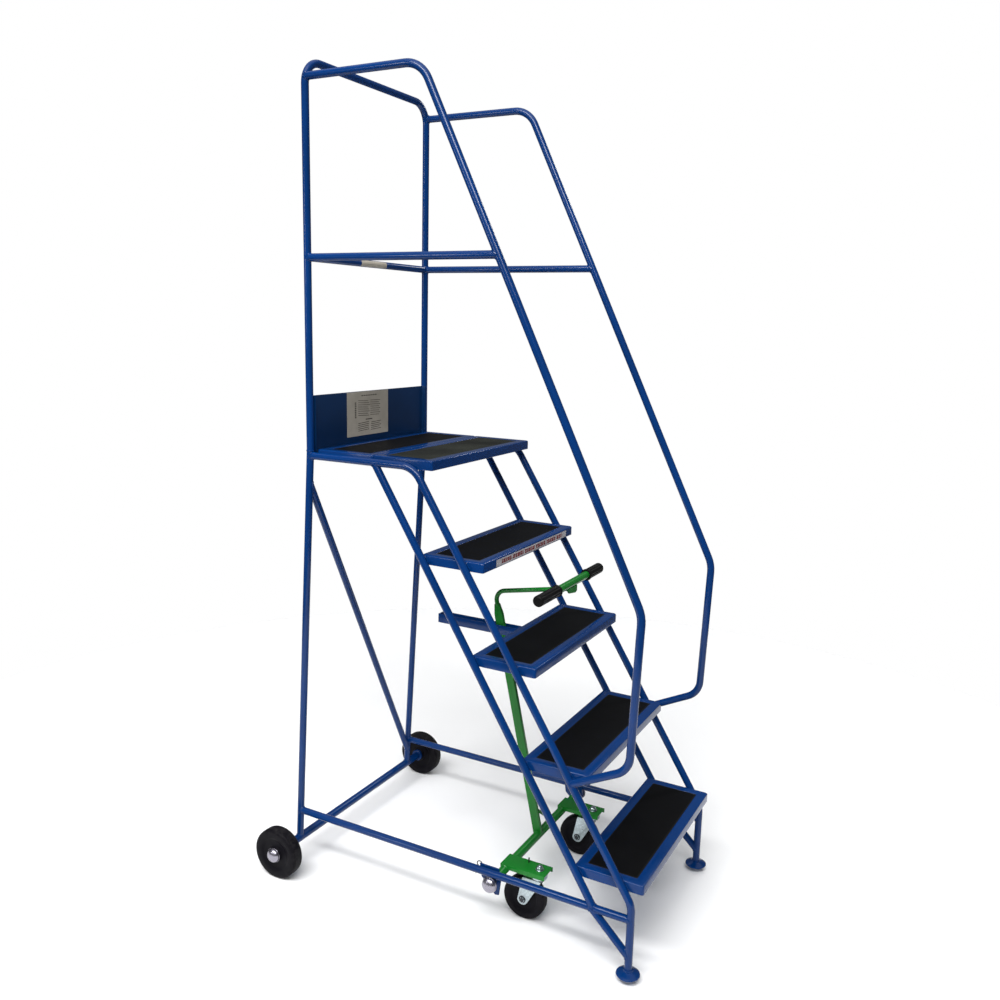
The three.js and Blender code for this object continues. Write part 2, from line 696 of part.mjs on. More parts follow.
// Two cheeks and a crown, with the wheel's axle bolt through the cheeks.
function castorFork(x) {
  const reach = FORK_INNER + FORK_SHEET;
  const underCrown = FORK_CROWN_Z - 3;
  const outline = [
    [FORK_FRONT_Y, FORK_CROWN_Z],
    [FORK_FRONT_Y + 4, FORK_CROWN_Z - 9],
  ];
  for (let k = 0; k <= 6; k++) {
    const t = THREE.MathUtils.degToRad(205 + (145 * k) / 6);
    outline.push([CASTOR_Y + FORK_BOSS_R * Math.cos(t), CASTOR_R + FORK_BOSS_R * Math.sin(t)]);
  }
  outline.push([FORK_REAR_Y, FORK_CROWN_Z]);
  const cheeks = cut(
    plateYZ(outline, x - reach, x + reach),
    block(x - FORK_INNER, CASTOR_Y - 2 * CASTOR_R, 0, x + FORK_INNER, CASTOR_Y + CASTOR_R, underCrown),
  );
  const along = (x0, x1, radius, count) =>
    rod(v3(x0, CASTOR_Y, CASTOR_R), v3(x1, CASTOR_Y, CASTOR_R), radius, count);
  const end = reach + BOLT_R;
  const bolt = along(x - end, x + end, BOLT_R, 12);
  const head = along(x - end, x - reach + 1, BOLT_HEAD_R, 6);
  const nut = along(x + reach - 1, x + end, BOLT_HEAD_R, 6);
  return fuse(cheeks, bolt, head, nut);
}
function castorWheel(x) {
  return turnedX(
    wheelProfile(CASTOR_BORE_R, CASTOR_R, CASTOR_WIDTH, CASTOR_HUB_R, WHEEL_DISH),
    v3(x - CASTOR_WIDTH / 2, CASTOR_Y, CASTOR_R),
    28,
  );
}

function castorUnit() {
  const end = PIVOT_CAP_X + AXLE_STICKS_OUT;
  add("pivot_axle", pivotLine(-end, end, AXLE_R), ZINC, 0.35, 1);
  const tubeHalf = BRACKET_OUTER - BRACKET_SHEET - 2 * GAP;
  add("castor_cross_tube", pivotLine(-tubeHalf, tubeHalf, AXLE_TUBE_R, AXLE_BORE_R), GREEN);
  add("lever_tube", leverTube(), GREEN);
  add("lever_strut", leverStrut(), GREEN);
  add("handle_rod", handleRod(), GREEN);
  add("handle_crossbar", crossbar(), GREEN);
  for (const g of GRIPS) add(g.name, grip(g), BLACK, 0.85);
  for (const { name, s } of sides) {
    add(`${name}_pivot_bracket`, pivotBracket(s), BLUE);
    add(
      `${name}_pivot_cap`,
      turnedX(
        capProfile(CAP_R, CAP_HEIGHT, AXLE_R + GAP, CAP_SOCKET),
        v3(s * (PIVOT_CAP_X + GAP), PIVOT_Y, PIVOT_Z),
        24,
        s < 0,
      ),
      ZINC,
      0.15,
      1,
    );
    add(`${name}_castor_arm`, castorArm(s * ARM_X), GREEN);
    add(`${name}_castor_head`, castorHead(s * ARM_X), ZINC, 0.3, 1);
    add(`${name}_castor_fork`, castorFork(s * ARM_X), ZINC, 0.3, 1);
    add(`${name}_castor_wheel`, castorWheel(s * ARM_X), BLACK, 0.8);
  }
}

// A narrow channel with a long slot that the lever travels in.
function leverGuide() {
  const front = trayFrontY(2) + TRAY_DEPTH + GAP;
  const shape = new THREE.Shape(
    rect(-GUIDE_WIDTH / 2, front, GUIDE_WIDTH / 2, GUIDE_REAR_Y).map(([a, b]) => new THREE.Vector2(a, b)),
  );
  const w = GUIDE_WIDTH / 2 - GUIDE_WALL;
  shape.holes.push(
    new THREE.Path(
      rect(-w, front + GUIDE_WALL, w, GUIDE_REAR_Y - GUIDE_WALL)
        .reverse()
        .map(([a, b]) => new THREE.Vector2(a, b)),
    ),
  );
  return new THREE.ExtrudeGeometry(shape, { depth: GUIDE_HEIGHT, bevelEnabled: false }).translate(
    0,
    0,
    GUIDE_TOP_Z - GUIDE_HEIGHT,
  );
}

// ---- assembly -----------------------------------------------------------------
for (const side of sides) {
  sideFrame(side);
  add(`${side.name}_foot`, foot(side.x), BLUE);
}
rearFrame();
add("kick_board", kickBoard(), BLUE);
trays();
add("lever_guide", leverGuide(), BLUE);
rearWheels();
castorUnit();

export default ladder;
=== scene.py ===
"""Mobile warehouse steps: blue tubular side frames, four treads and a platform, rear wheels, and a green
lever that lowers a pair of swivel castors. Shapes are worked out in millimetres and made in metres."""

import math

import bmesh
import bpy
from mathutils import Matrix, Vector


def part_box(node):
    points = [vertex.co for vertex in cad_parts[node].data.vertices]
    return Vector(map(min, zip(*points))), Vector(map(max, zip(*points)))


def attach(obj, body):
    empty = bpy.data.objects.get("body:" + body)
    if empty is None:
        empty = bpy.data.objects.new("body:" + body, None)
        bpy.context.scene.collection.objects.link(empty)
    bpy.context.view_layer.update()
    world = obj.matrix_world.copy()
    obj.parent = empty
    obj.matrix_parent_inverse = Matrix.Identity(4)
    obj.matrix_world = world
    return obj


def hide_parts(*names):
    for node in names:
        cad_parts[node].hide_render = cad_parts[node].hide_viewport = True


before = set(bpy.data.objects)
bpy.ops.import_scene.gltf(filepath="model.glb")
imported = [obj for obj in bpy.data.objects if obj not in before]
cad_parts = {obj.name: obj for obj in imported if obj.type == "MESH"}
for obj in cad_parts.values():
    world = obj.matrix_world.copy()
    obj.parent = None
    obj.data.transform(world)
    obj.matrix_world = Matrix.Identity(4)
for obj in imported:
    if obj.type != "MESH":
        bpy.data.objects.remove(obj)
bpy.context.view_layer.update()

MM = 0.001
X = Vector((1, 0, 0))
Y = Vector((0, 1, 0))
Z = Vector((0, 0, 1))
SIDES = (("left", -1), ("right", 1))

# ---- sizes, in millimetres ----------------------------------------------------
TUBE_R = 10.25
AXLE_TUBE_R = 12.5
SIDE_X = 287
POST_Y = 448.5
DECK_Z = 1252
HOOP_FOOT_Z = 1266.3
HOOP_TOP_Z = 2284
HOOP_BEND = 60
HANDRAIL_Z = 2242
MID_RAIL_Z = 1787
BOTTOM_RAIL_Z = 167
STRINGER_SLOPE = 0.6283
STRINGER_REF_Z = 209.6
FRONT_STRINGER_Y = -549.6
REAR_STRINGER_Y = -424
STRINGER_BENDS = (70, 60)
FRONT_LEG_Y = -552
FOOT_BRACE_Y = -444
FOOT_BRACE_Z = 62.8
HANDRAIL_BEND_Y = 89.4
HANDRAIL_KNEE = (-539.4, 957)
HANDRAIL_HEEL = (-527.5, 563)
HANDRAIL_END = (-374, 486.5)
HANDRAIL_BENDS = (75, 90, 60)
BRACE_TOP_Z = 1175
BRACE_BASE_Z = 128
AXLE_Y = 511
WHEEL_R = 75
WHEEL_INNER_X = 362
WHEEL_WIDTH = 40
AXLE_R = 9.5
CAP_R = 22
CAP_HEIGHT = 17
PIVOT = Vector((0, -153.5, 139))
BRACKET_INNER_X = 272.45
PIVOT_CAP_X = 296
LEVER_LEAN = math.radians(12.84)
LEVER_LENGTH = 702
LEVER_SIZE = (12, 25)
HANDLE_BAR = Vector((0, -226.5, 920))
HANDLE_BAR_R = 11
HANDLE_HALF = 200
HANDLE_ROD_R = 6.6
HANDLE_ROD_END_Z = 905.5
HANDLE_ROD_CORNER = 740
HANDLE_ROD_BEND = 30
GRIPS = (("left_grip", -86, -207), ("right_grip", 108, 207))
STRUT_TOP_Z = 218
STRUT_FOOT_X = 88
GRIP_R = 15.5
ARM_X = 186
ARM_HALF = 28
ARM_TOP_Z = 155
STUD_Y = -249.5
CASTOR_Y = -208.5
CASTOR_R = 62.5
CASTOR_WIDTH = 32
FORK_CROWN_Z = 130
FORK_REACH = 20.5
FOOT_BASE_Z = 15
FOOT_TOP_Z = 28
FOOT_R = 31
FLOOR_R = 2600
MAT_RIM = 27
TRAY_SHEET = 2.5


def stringer_y(at_ref, z):
    return at_ref + (z - STRINGER_REF_Z) * STRINGER_SLOPE


def rear_leg_y(z):
    return POST_Y + (HOOP_FOOT_Z - z) * (AXLE_Y - POST_Y) / (HOOP_FOOT_Z - WHEEL_R)


# ---- mesh building ------------------------------------------------------------
class Shape:
    """Points and faces of one piece in millimetres, with a wear value from 0 to 1 at each point."""

    def __init__(self):
        self.points = []
        self.faces = []
        self.wear = []

    def add(self, points, faces, wear=None):
        start = len(self.points)
        self.points += [Vector(p) for p in points]
        self.faces += [[start + i for i in face] for face in faces]
        self.wear += list(wear) if wear else [0.0] * len(points)

    def bridge(self, loops, wrap=False, caps=True, wear=None):
        """Joins loops of equally many points in turn. wrap joins the last to the first instead of capping."""
        n = len(loops[0])
        count = len(loops)
        faces = []
        for k in range(count if wrap else count - 1):
            a = k * n
            b = ((k + 1) % count) * n
            faces += [[a + i, a + (i + 1) % n, b + (i + 1) % n, b + i] for i in range(n)]
        if caps and not wrap:
            faces.append(list(range(n))[::-1])
            faces.append([(count - 1) * n + i for i in range(n)])
        marks = [w for w in wear for _ in range(n)] if wear else None
        self.add([p for loop in loops for p in loop], faces, marks)


def square_to(direction):
    """A unit vector square to a direction."""
    helper = X if abs(direction.dot(X)) < 0.8 * direction.length else Y
    return direction.cross(helper).normalized()


def bent_route(corners, radii=(), step=math.radians(7)):
    """Points and tangents along straight runs whose inner corners are arcs of the given radii."""
    corners = [Vector(c) for c in corners]
    points = [corners[0]]
    tangents = [(corners[1] - corners[0]).normalized()]
    for before, corner, after, radius in zip(corners, corners[1:], corners[2:], radii):
        a = (corner - before).normalized()
        b = (after - corner).normalized()
        turn = a.angle(b)
        start = corner - a * radius * math.tan(turn / 2)
        inward = (b - a * a.dot(b)).normalized()
        centre = start + inward * radius
        count = max(4, round(turn / step))
        for k in range(count + 1):
            t = turn * k / count
            points.append(centre - inward * radius * math.cos(t) + a * radius * math.sin(t))
            tangents.append(a * math.cos(t) + inward * math.sin(t))
    points.append(corners[-1])
    tangents.append((corners[-1] - corners[-2]).normalized())
    return points, tangents


def arc(centre, start, turn_axis, degrees, steps=24):
    """Points and tangents of an arc about a centre."""
    points, tangents = [], []
    axis = turn_axis.normalized()
    for k in range(steps + 1):
        t = math.radians(degrees) * k / steps
        out = start * math.cos(t) + axis.cross(start) * math.sin(t)
        points.append(centre + out)
        tangents.append(axis.cross(out).normalized() * (1 if degrees > 0 else -1))
    return points, tangents


def ring_angles(sides):
    return [2 * math.pi * k / sides for k in range(sides)]


def circle(radius, sides=40):
    return [(radius * math.cos(t), radius * math.sin(t)) for t in ring_angles(sides)]


def rounded_rect(half_a, half_b, radius, steps=5):
    """A rectangle about the origin with round corners, anticlockwise from the lower left."""
    out = []
    for sa, sb, begin in ((-1, -1, 180), (1, -1, 270), (1, 1, 0), (-1, 1, 90)):
        for k in range(steps + 1):
            t = math.radians(begin + 90 * k / steps)
            a = sa * (half_a - radius) + radius * math.cos(t)
            b = sb * (half_b - radius) + radius * math.sin(t)
            out.append((a, b))
    return out


def sweep(shape, route, section, first=None):
    """A section carried along a route; first is the direction of the section's own first axis."""
    points, tangents = route
    normal = first or square_to(tangents[0])
    loops = []
    for point, tangent in zip(points, tangents):
        normal = (normal - tangent * normal.dot(tangent)).normalized()
        side = tangent.cross(normal)
        loops.append([point + normal * a + side * b for a, b in section])
    shape.bridge(loops)


def tube(shape, route, radius=TUBE_R, sides=40):
    sweep(shape, route, circle(radius, sides))


def turned(shape, profile, centre, axis, segments=64, radius_at=None, wear=None):
    """A (radius, height) profile turned about an axis. radius_at may change a radius by angle and height."""
    axis = axis.normalized()
    u = square_to(axis)
    v = axis.cross(u)
    loops = []
    for k in range(segments):
        t = 2 * math.pi * k / segments
        out = u * math.cos(t) + v * math.sin(t)
        loops.append(
            [
                centre + axis * h + out * (radius_at(r, t, h) if radius_at and r > 0 else r)
                for r, h in profile
            ]
        )
    marks = [w for _ in range(segments) for w in wear] if wear else None
    n = len(profile)
    faces = []
    for k in range(segments):
        a, b = k * n, ((k + 1) % segments) * n
        faces += [[a + i, b + i, b + (i + 1) % n, a + (i + 1) % n] for i in range(n)]
    shape.add([p for loop in loops for p in loop], faces, marks)


def slab(shape, outline, origin, u, v, thickness, edge=0.4):
    """A flat outline given along u and v, thickened along u x v, with a small chamfer all round."""
    w = u.cross(v).normalized() * thickness
    middle = Vector((sum(a for a, _ in outline) / len(outline), sum(b for _, b in outline) / len(outline)))

    def ring(inset, lift):
        loop = []
        for a, b in outline:
            out = Vector((a, b)) - middle
            short = out.normalized() * min(inset, out.length / 2)
            loop.append(origin + u * (a - short.x) + v * (b - short.y) + w * lift)
        return loop

    near = edge / thickness
    shape.bridge([ring(edge, 0), ring(0, near), ring(0, 1 - near), ring(edge, 1)])


def bead(shape, points, outs, closed, radius=2.4, sides=8):
    """A rippled weld bead laid along points, with its crown facing outs."""
    count = len(points)
    loops = []
    for k, (point, out) in enumerate(zip(points, outs)):
        before = points[k - 1] if closed or k else point
        after = points[(k + 1) % count] if closed or k < count - 1 else point
        tangent = (after - before).normalized()
        out = (out - tangent * out.dot(tangent)).normalized()
        side = tangent.cross(out)
        end = 1 if closed else min(1, 0.35 + 0.35 * min(k, count - 1 - k))
        r = radius * end * (1 + 0.1 * math.sin(k * 2.1) + 0.06 * math.sin(k * 0.7 + point.z))
        ring = [out * math.cos(t) * 0.8 + side * math.sin(t) for t in ring_angles(sides)]
        loops.append([point + p * r for p in ring])
    shape.bridge(loops, wrap=closed)


def weld(shape, foot, along, main, section=None, main_r=TUBE_R, radius=2.4):
    """The bead where a bar, leaving the point foot on a round tube's axis, comes out of that tube."""
    along = along.normalized()
    main = main.normalized()
    across = main.cross(along).normalized()
    lengthwise = across.cross(along)
    slant = along - main * along.dot(main)
    points, outs = [], []
    for a, b in section or circle(TUBE_R, 44):
        off = lengthwise * a + across * b
        gap = off - main * off.dot(main)
        half = gap.dot(slant)
        root = half * half - slant.length_squared * (gap.length_squared - main_r**2)
        reach = (-half + math.sqrt(max(root, 0))) / slant.length_squared
        point = foot + off + along * reach
        surface = (point - foot) - main * (point - foot).dot(main)
        points.append(point)
        outs.append(off.normalized() + surface.normalized())
    bead(shape, points, outs, True, radius)


def seam(shape, start, end, out, radius=2.0, pitch=2.2):
    """A straight weld bead."""
    count = max(4, round((end - start).length / pitch))
    points = [start.lerp(end, k / count) for k in range(count + 1)]
    bead(shape, points, [out] * len(points), False, radius)


def ring_weld(shape, centre, axis, radius, thickness=2.2):
    """A bead round a tube where it stands on a flat face or butts another tube."""
    u = square_to(axis)
    v = axis.normalized().cross(u)
    outs = [u * math.cos(t) + v * math.sin(t) for t in ring_angles(48)]
    bead(shape, [centre + o * radius for o in outs], outs, True, thickness)


def piece(name, shape, body, finish, replaces=(), angle=32):
    """Makes the Blender object of a shape: merged, facing out, smooth up to an angle, riding on its body."""
    mesh = bpy.data.meshes.new(name)
    mesh.from_pydata([p * MM for p in shape.points], [], shape.faces)
    wear = mesh.attributes.new("wear", "FLOAT", "POINT")
    wear.data.foreach_set("value", shape.wear)
    bm = bmesh.new()
    bm.from_mesh(mesh)
    bmesh.ops.remove_doubles(bm, verts=bm.verts, dist=1e-7)
    bmesh.ops.recalc_face_normals(bm, faces=bm.faces)
    bm.to_mesh(mesh)
    bm.free()
    return settle(name, mesh, body, finish, replaces, angle)


def settle(name, mesh, body, finish, replaces, angle):
    mesh.shade_smooth()
    mesh.set_sharp_from_angle(angle=math.radians(angle))
    mesh.materials.clear()
    mesh.materials.append(finish)
    made = bpy.data.objects.new(name, mesh)
    bpy.context.scene.collection.objects.link(made)
    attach(made, body)
    if replaces:
        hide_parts(*replaces)
    return made


def eased(node, body, finish, width=0.7, segments=3):
    """A new piece with a CAD node's shape, its sharp edges rounded over."""
    bm = bmesh.new()
    bm.from_mesh(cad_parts[node].data)
    bmesh.ops.remove_doubles(bm, verts=bm.verts, dist=2e-5)
    bmesh.ops.dissolve_limit(bm, angle_limit=math.radians(1.5), verts=bm.verts, edges=bm.edges)
    sharp = [e for e in bm.edges if len(e.link_faces) == 2 and e.calc_face_angle(0) > math.radians(28)]
    bmesh.ops.bevel(
        bm,
        geom=sharp,
        offset=width * MM,
        segments=segments,
        profile=0.5,
        affect="EDGES",
        clamp_overlap=True,
    )
    mesh = bpy.data.meshes.new(node + "_body")
    bm.to_mesh(mesh)
    bm.free()
    mesh.attributes.new("wear", "FLOAT", "POINT")
    return settle(node + "_body", mesh, body, finish, (node,), 30)


# ---- materials ------------------------------------------------------------------
def tint(r, g, b):
    """A display colour, 0 to 255, as a linear one."""

    def linear(c):
        return c / 255 / 12.92 if c < 11 else ((c / 255 + 0.055) / 1.055) ** 2.4

    return (linear(r), linear(g), linear(b), 1)


class Finish:
    """One material and the few node shapes that the finishes share."""

    def __init__(self, name):
        self.material = bpy.data.materials.new(name)
        self.material.use_nodes = True
        self.tree = self.material.node_tree
        self.shader = self.tree.nodes["Principled BSDF"]
        self.place = self.new("ShaderNodeTexCoord").outputs["Object"]

    def new(self, kind, **settings):
        node = self.tree.nodes.new(kind)
        for key, value in settings.items():
            setattr(node, key, value)
        return node

    def link(self, source, target):
        self.tree.links.new(source, target)

    def stretched(self, stretch):
        mapping = self.new("ShaderNodeMapping")
        mapping.inputs["Scale"].default_value = stretch
        self.link(self.place, mapping.inputs["Vector"])
        return mapping.outputs["Vector"]

    def noise(self, scale, detail=4.0, roughness=0.55, stretch=None, distortion=0.0):
        node = self.new("ShaderNodeTexNoise")
        node.inputs["Scale"].default_value = scale
        node.inputs["Detail"].default_value = detail
        node.inputs["Roughness"].default_value = roughness
        node.inputs["Distortion"].default_value = distortion
        self.link(self.stretched(stretch) if stretch else self.place, node.inputs["Vector"])
        return node.outputs["Fac"]

    def cells(self, scale):
        node = self.new("ShaderNodeTexVoronoi", feature="F1")
        node.inputs["Scale"].default_value = scale
        self.link(self.place, node.inputs["Vector"])
        return node.outputs["Distance"]

    def span(self, value, low, high, to_low=0.0, to_high=1.0):
        """value from low to high becomes to_low to to_high, held at the ends."""
        node = self.new("ShaderNodeMapRange")
        self.link(value, node.inputs["Value"])
        for key, number in zip(("From Min", "From Max", "To Min", "To Max"), (low, high, to_low, to_high)):
            node.inputs[key].default_value = number
        return node.outputs["Result"]

    def maths(self, operation, a, b):
        node = self.new("ShaderNodeMath", operation=operation)
        for socket, value in zip(node.inputs, (a, b)):
            if isinstance(value, (int, float)):
                socket.default_value = value
            else:
                self.link(value, socket)
        return node.outputs["Value"]

    def blend(self, share, a, b):
        node = self.new("ShaderNodeMix", data_type="RGBA")
        self.link(share, node.inputs["Factor"])
        for index, value in ((6, a), (7, b)):
            if isinstance(value, tuple):
                node.inputs[index].default_value = value
            else:
                self.link(value, node.inputs[index])
        return node.outputs[2]

    def wear(self):
        node = self.new("ShaderNodeAttribute", attribute_name="wear")
        return node.outputs["Fac"]

    def bump(self, height, strength, depth_mm, under=None):
        node = self.new("ShaderNodeBump")
        node.inputs["Strength"].default_value = strength
        node.inputs["Distance"].default_value = depth_mm * MM
        self.link(height, node.inputs["Height"])
        if under:
            self.link(under, node.inputs["Normal"])
        return node.outputs["Normal"]

    def set(self, **values):
        for key, value in values.items():
            socket = self.shader.inputs[key.replace("_", " ")]
            if hasattr(value, "is_linked"):
                self.link(value, socket)
            else:
                socket.default_value = value
        return self.material


def paint(name, colour, deep, worn, gloss):
    """Glossy stoved paint: faint orange peel, drifting depth of colour, light rubs, and worn edges."""
    f = Finish(name)
    drift = f.blend(f.span(f.noise(3, 2), 0.35, 0.65), deep, colour)
    rub = f.span(f.noise(16, 7, 0.62, (1, 1, 0.4), 0.5), 0.60, 0.80, 0, 0.6)
    scratch = f.span(f.noise(160, 2, 0.5, (1, 0.05, 1)), 0.72, 0.80, 0, 0.3)
    dull = f.maths("MAXIMUM", rub, scratch)
    edge = f.maths("MULTIPLY", f.wear(), f.span(f.noise(110, 6, 0.7), 0.48, 0.64))
    base = f.blend(f.maths("MULTIPLY", dull, 0.10), drift, worn)
    base = f.blend(f.maths("MULTIPLY", edge, 0.25), base, worn)
    rough = f.span(f.noise(30, 4), 0.3, 0.7, gloss, gloss + 0.06)
    rough = f.maths("ADD", rough, f.maths("MULTIPLY", dull, 0.16))
    peel = f.bump(f.noise(110, 2), 0.04, 0.05)
    normal = f.bump(dull, 0.02, 0.04, peel)
    return f.set(Base_Color=base, Roughness=rough, Normal=normal, Specular_IOR_Level=0.28)


def rubber_mat(name, dust_and_painted_reflection=0.0):
    """Rubber mat with mineral grit. A non-zero second argument greys it by that much towards pale grey: a
    painted reflection of bright light glancing off the mat.
    """
    f = Finish(name)
    grit = f.cells(620)
    coarse = f.noise(900, 3, 0.7)
    speck = f.span(f.noise(1300, 2, 0.6), 0.62, 0.74, 0, 0.35)
    worn = f.span(f.noise(7, 5, 0.6), 0.42, 0.75, 0, 0.3)
    base = f.blend(speck, tint(6, 6, 7), tint(36, 38, 40))
    base = f.blend(worn, base, tint(16, 17, 19))
    # Painted reflection: patchy greying towards pale grey stands in for light glancing off the mat at a low
    # angle.
    if dust_and_painted_reflection:
        base = f.blend(f.span(f.noise(5, 4, 0.6), 0.3, 0.7, dust_and_painted_reflection, dust_and_painted_reflection + 0.25), base, tint(78, 81, 72))
    base = f.blend(f.maths("MULTIPLY", f.wear(), 0.25), base, tint(52, 53, 54))
    rough = f.span(coarse, 0.3, 0.7, 0.46, 0.66)
    normal = f.bump(grit, 0.25, 0.2, f.bump(coarse, 0.2, 0.15))
    return f.set(Base_Color=base, Roughness=rough, Normal=normal, Specular_IOR_Level=0.07)


def moulded(name, colour, pale, rough, grain=500):
    """Moulded rubber: a soft sheen, faint flow marks, and dust where it is rubbed."""
    f = Finish(name)
    flow = f.noise(9, 5, 0.6)
    base = f.blend(f.span(flow, 0.35, 0.75, 0, 0.4), colour, pale)
    # This mask is real dust where the rubber is rubbed.
    dust_and_painted_reflection = f.maths("MULTIPLY", f.wear(), f.span(f.noise(70, 7, 0.7), 0.42, 0.66))
    base = f.blend(f.maths("MULTIPLY", dust_and_painted_reflection, 0.35), base, tint(66, 64, 64))
    gloss = f.span(f.noise(40, 6, 0.6), 0.3, 0.7, rough, rough + 0.14)
    gloss = f.maths("ADD", gloss, f.maths("MULTIPLY", dust_and_painted_reflection, 0.3))
    normal = f.bump(f.noise(grain, 3, 0.6), 0.12, 0.1, f.bump(flow, 0.08, 0.3))
    return f.set(Base_Color=base, Roughness=gloss, Normal=normal, Specular_IOR_Level=0.07)


def plated(name, colour, dull, rough, spangle=0.0):
    """Plated steel: cloudy zinc when spangle is high, bright chrome when it is low."""
    f = Finish(name)
    cloud = f.noise(55, 5, 0.6)
    spot = f.span(f.cells(150), 0.1, 0.7, 0, spangle)
    stain = f.span(f.noise(30, 8, 0.7), 0.56, 0.8, 0, 0.5)
    base = f.blend(f.maths("MAXIMUM", spot, stain), colour, dull)
    base = f.blend(f.maths("MULTIPLY", f.wear(), 0.5), base, dull)
    gloss = f.span(cloud, 0.3, 0.7, rough, rough + 0.08)
    gloss = f.maths("ADD", gloss, f.maths("MULTIPLY", stain, 0.15))
    normal = f.bump(f.noise(240, 5, 0.6), 0.04 + 0.1 * spangle, 0.06)
    return f.set(Base_Color=base, Roughness=gloss, Normal=normal, Metallic=1.0)


def drawn_steel(name):
    """Drawn bar with fine lines along its length."""
    f = Finish(name)
    lines = f.noise(400, 3, 0.6, (0.05, 1, 1))
    base = f.blend(f.span(lines, 0.3, 0.7), tint(150, 152, 156), tint(196, 198, 202))
    gloss = f.span(lines, 0.3, 0.7, 0.26, 0.42)
    return f.set(Base_Color=base, Roughness=gloss, Normal=f.bump(lines, 0.1, 0.05), Metallic=1.0)


def printed(name, colour, aged, rough=0.5):
    """Printed film: slightly aged and scuffed."""
    f = Finish(name)
    age = f.span(f.noise(22, 6, 0.6), 0.35, 0.75)
    base = f.blend(age, colour, aged)
    gloss = f.span(f.noise(90, 5), 0.3, 0.7, rough, rough + 0.2)
    return f.set(Base_Color=base, Roughness=gloss, Normal=f.bump(f.noise(300, 3), 0.06, 0.05))


BLUE = paint("frame_blue_paint", tint(3, 49, 107), tint(2, 42, 94), tint(26, 70, 126), 0.12)
KICK_BLUE = paint("kick_board_blue_paint", tint(3, 41, 82), tint(2, 36, 74), tint(28, 60, 102), 0.34)
GREEN = paint("lever_green_paint", tint(24, 118, 38), tint(20, 106, 34), tint(70, 138, 74), 0.18)
MAT = rubber_mat("tread_mat_rubber")
# The front platform mat's finish: greyed as a painted reflection of light glancing off it.
PAINTED_REFLECTION_MAT = rubber_mat("platform_mat_rubber_painted_reflection", 0.1)
TYRE = moulded("wheel_rubber_black", tint(12, 11, 16), tint(19, 17, 24), 0.40)
GRIP = moulded("grip_rubber_black", tint(15, 15, 15), tint(23, 23, 24), 0.34, 700)
ZINC = plated("castor_zinc_plate", tint(196, 208, 212), tint(138, 148, 152), 0.26, 0.5)
CHROME = plated("cap_chrome_plate", tint(158, 155, 166), tint(118, 116, 126), 0.22)
STEEL = drawn_steel("axle_drawn_steel")
CLIP = plated("clip_dark_steel", tint(70, 72, 76), tint(38, 38, 40), 0.35)
PAPER = printed("label_paper", tint(180, 173, 160), tint(162, 155, 142))
FILM = printed("tread_label_film", tint(188, 184, 188), tint(166, 162, 166), 0.35)
INK = printed("label_ink", tint(34, 32, 30), tint(52, 48, 46), 0.6)
RED = printed("tread_label_red", tint(124, 20, 28), tint(106, 24, 30), 0.45)


# ---- side frames ------------------------------------------------------------------
def side_routes(x):
    """The centre lines of one side frame's tubes."""

    def at(y, z):
        return Vector((x, y, z))

    knee_z = STRINGER_REF_Z + (FRONT_LEG_Y - FRONT_STRINGER_Y) / STRINGER_SLOPE
    share = (MID_RAIL_Z - HANDRAIL_KNEE[1]) / (HANDRAIL_Z - HANDRAIL_KNEE[1])
    mid_y = HANDRAIL_KNEE[0] + share * (HANDRAIL_BEND_Y - HANDRAIL_KNEE[0])
    return {
        "front_stringer": (
            [
                at(POST_Y, DECK_Z),
                at(stringer_y(FRONT_STRINGER_Y, DECK_Z), DECK_Z),
                at(FRONT_LEG_Y, knee_z),
                at(FRONT_LEG_Y, 27),
            ],
            STRINGER_BENDS,
        ),
        "rear_leg": ([at(POST_Y, HOOP_FOOT_Z), at(AXLE_Y, WHEEL_R)], ()),
        "bottom_rail": ([at(rear_leg_y(BOTTOM_RAIL_Z), BOTTOM_RAIL_Z), at(FRONT_LEG_Y, BOTTOM_RAIL_Z)], ()),
        "rear_stringer": (
            [
                at(stringer_y(REAR_STRINGER_Y, DECK_Z), DECK_Z),
                at(stringer_y(REAR_STRINGER_Y, BOTTOM_RAIL_Z), BOTTOM_RAIL_Z),
            ],
            (),
        ),
        "foot_brace": ([at(FOOT_BRACE_Y, BOTTOM_RAIL_Z), at(FRONT_LEG_Y, FOOT_BRACE_Z)], ()),
        "handrail": (
            [
                at(POST_Y, HANDRAIL_Z),
                at(HANDRAIL_BEND_Y, HANDRAIL_Z),
                at(*HANDRAIL_KNEE),
                at(*HANDRAIL_HEEL),
                at(*HANDRAIL_END),
            ],
            HANDRAIL_BENDS,
        ),
        "mid_rail": ([at(POST_Y, MID_RAIL_Z), at(mid_y, MID_RAIL_Z)], ()),
    }


def side_welds(shape, routes):
    """Beads at every joint in the plane of one side frame."""
    ends = {name: corners for name, (corners, _) in routes.items()}
    leg = ends["rear_leg"][1] - ends["rear_leg"][0]
    slope = Vector((0, STRINGER_SLOPE, 1))
    incline = ends["handrail"][2] - ends["handrail"][1]
    joints = [
        (ends["front_stringer"][0], -Y, leg),
        (ends["bottom_rail"][0], -Y, leg),
        (ends["bottom_rail"][1], Y, Z),
        (ends["rear_stringer"][0], -slope, Y),
        (ends["rear_stringer"][1], slope, Y),
        (ends["foot_brace"][0], ends["foot_brace"][1] - ends["foot_brace"][0], Y),
        (ends["foot_brace"][1], ends["foot_brace"][0] - ends["foot_brace"][1], Z),
        (ends["handrail"][0], -Y, Z),
        (ends["handrail"][4], ends["handrail"][3] - ends["handrail"][4], slope),
        (ends["mid_rail"][0], -Y, Z),
        (ends["mid_rail"][1], Y, incline),
    ]
    for foot, along, main in joints:
        weld(shape, foot, along, main)
    weld(shape, ends["rear_leg"][1], -leg, X, main_r=AXLE_TUBE_R)
    ring_weld(shape, ends["rear_leg"][0], Z, TUBE_R, 1.6)


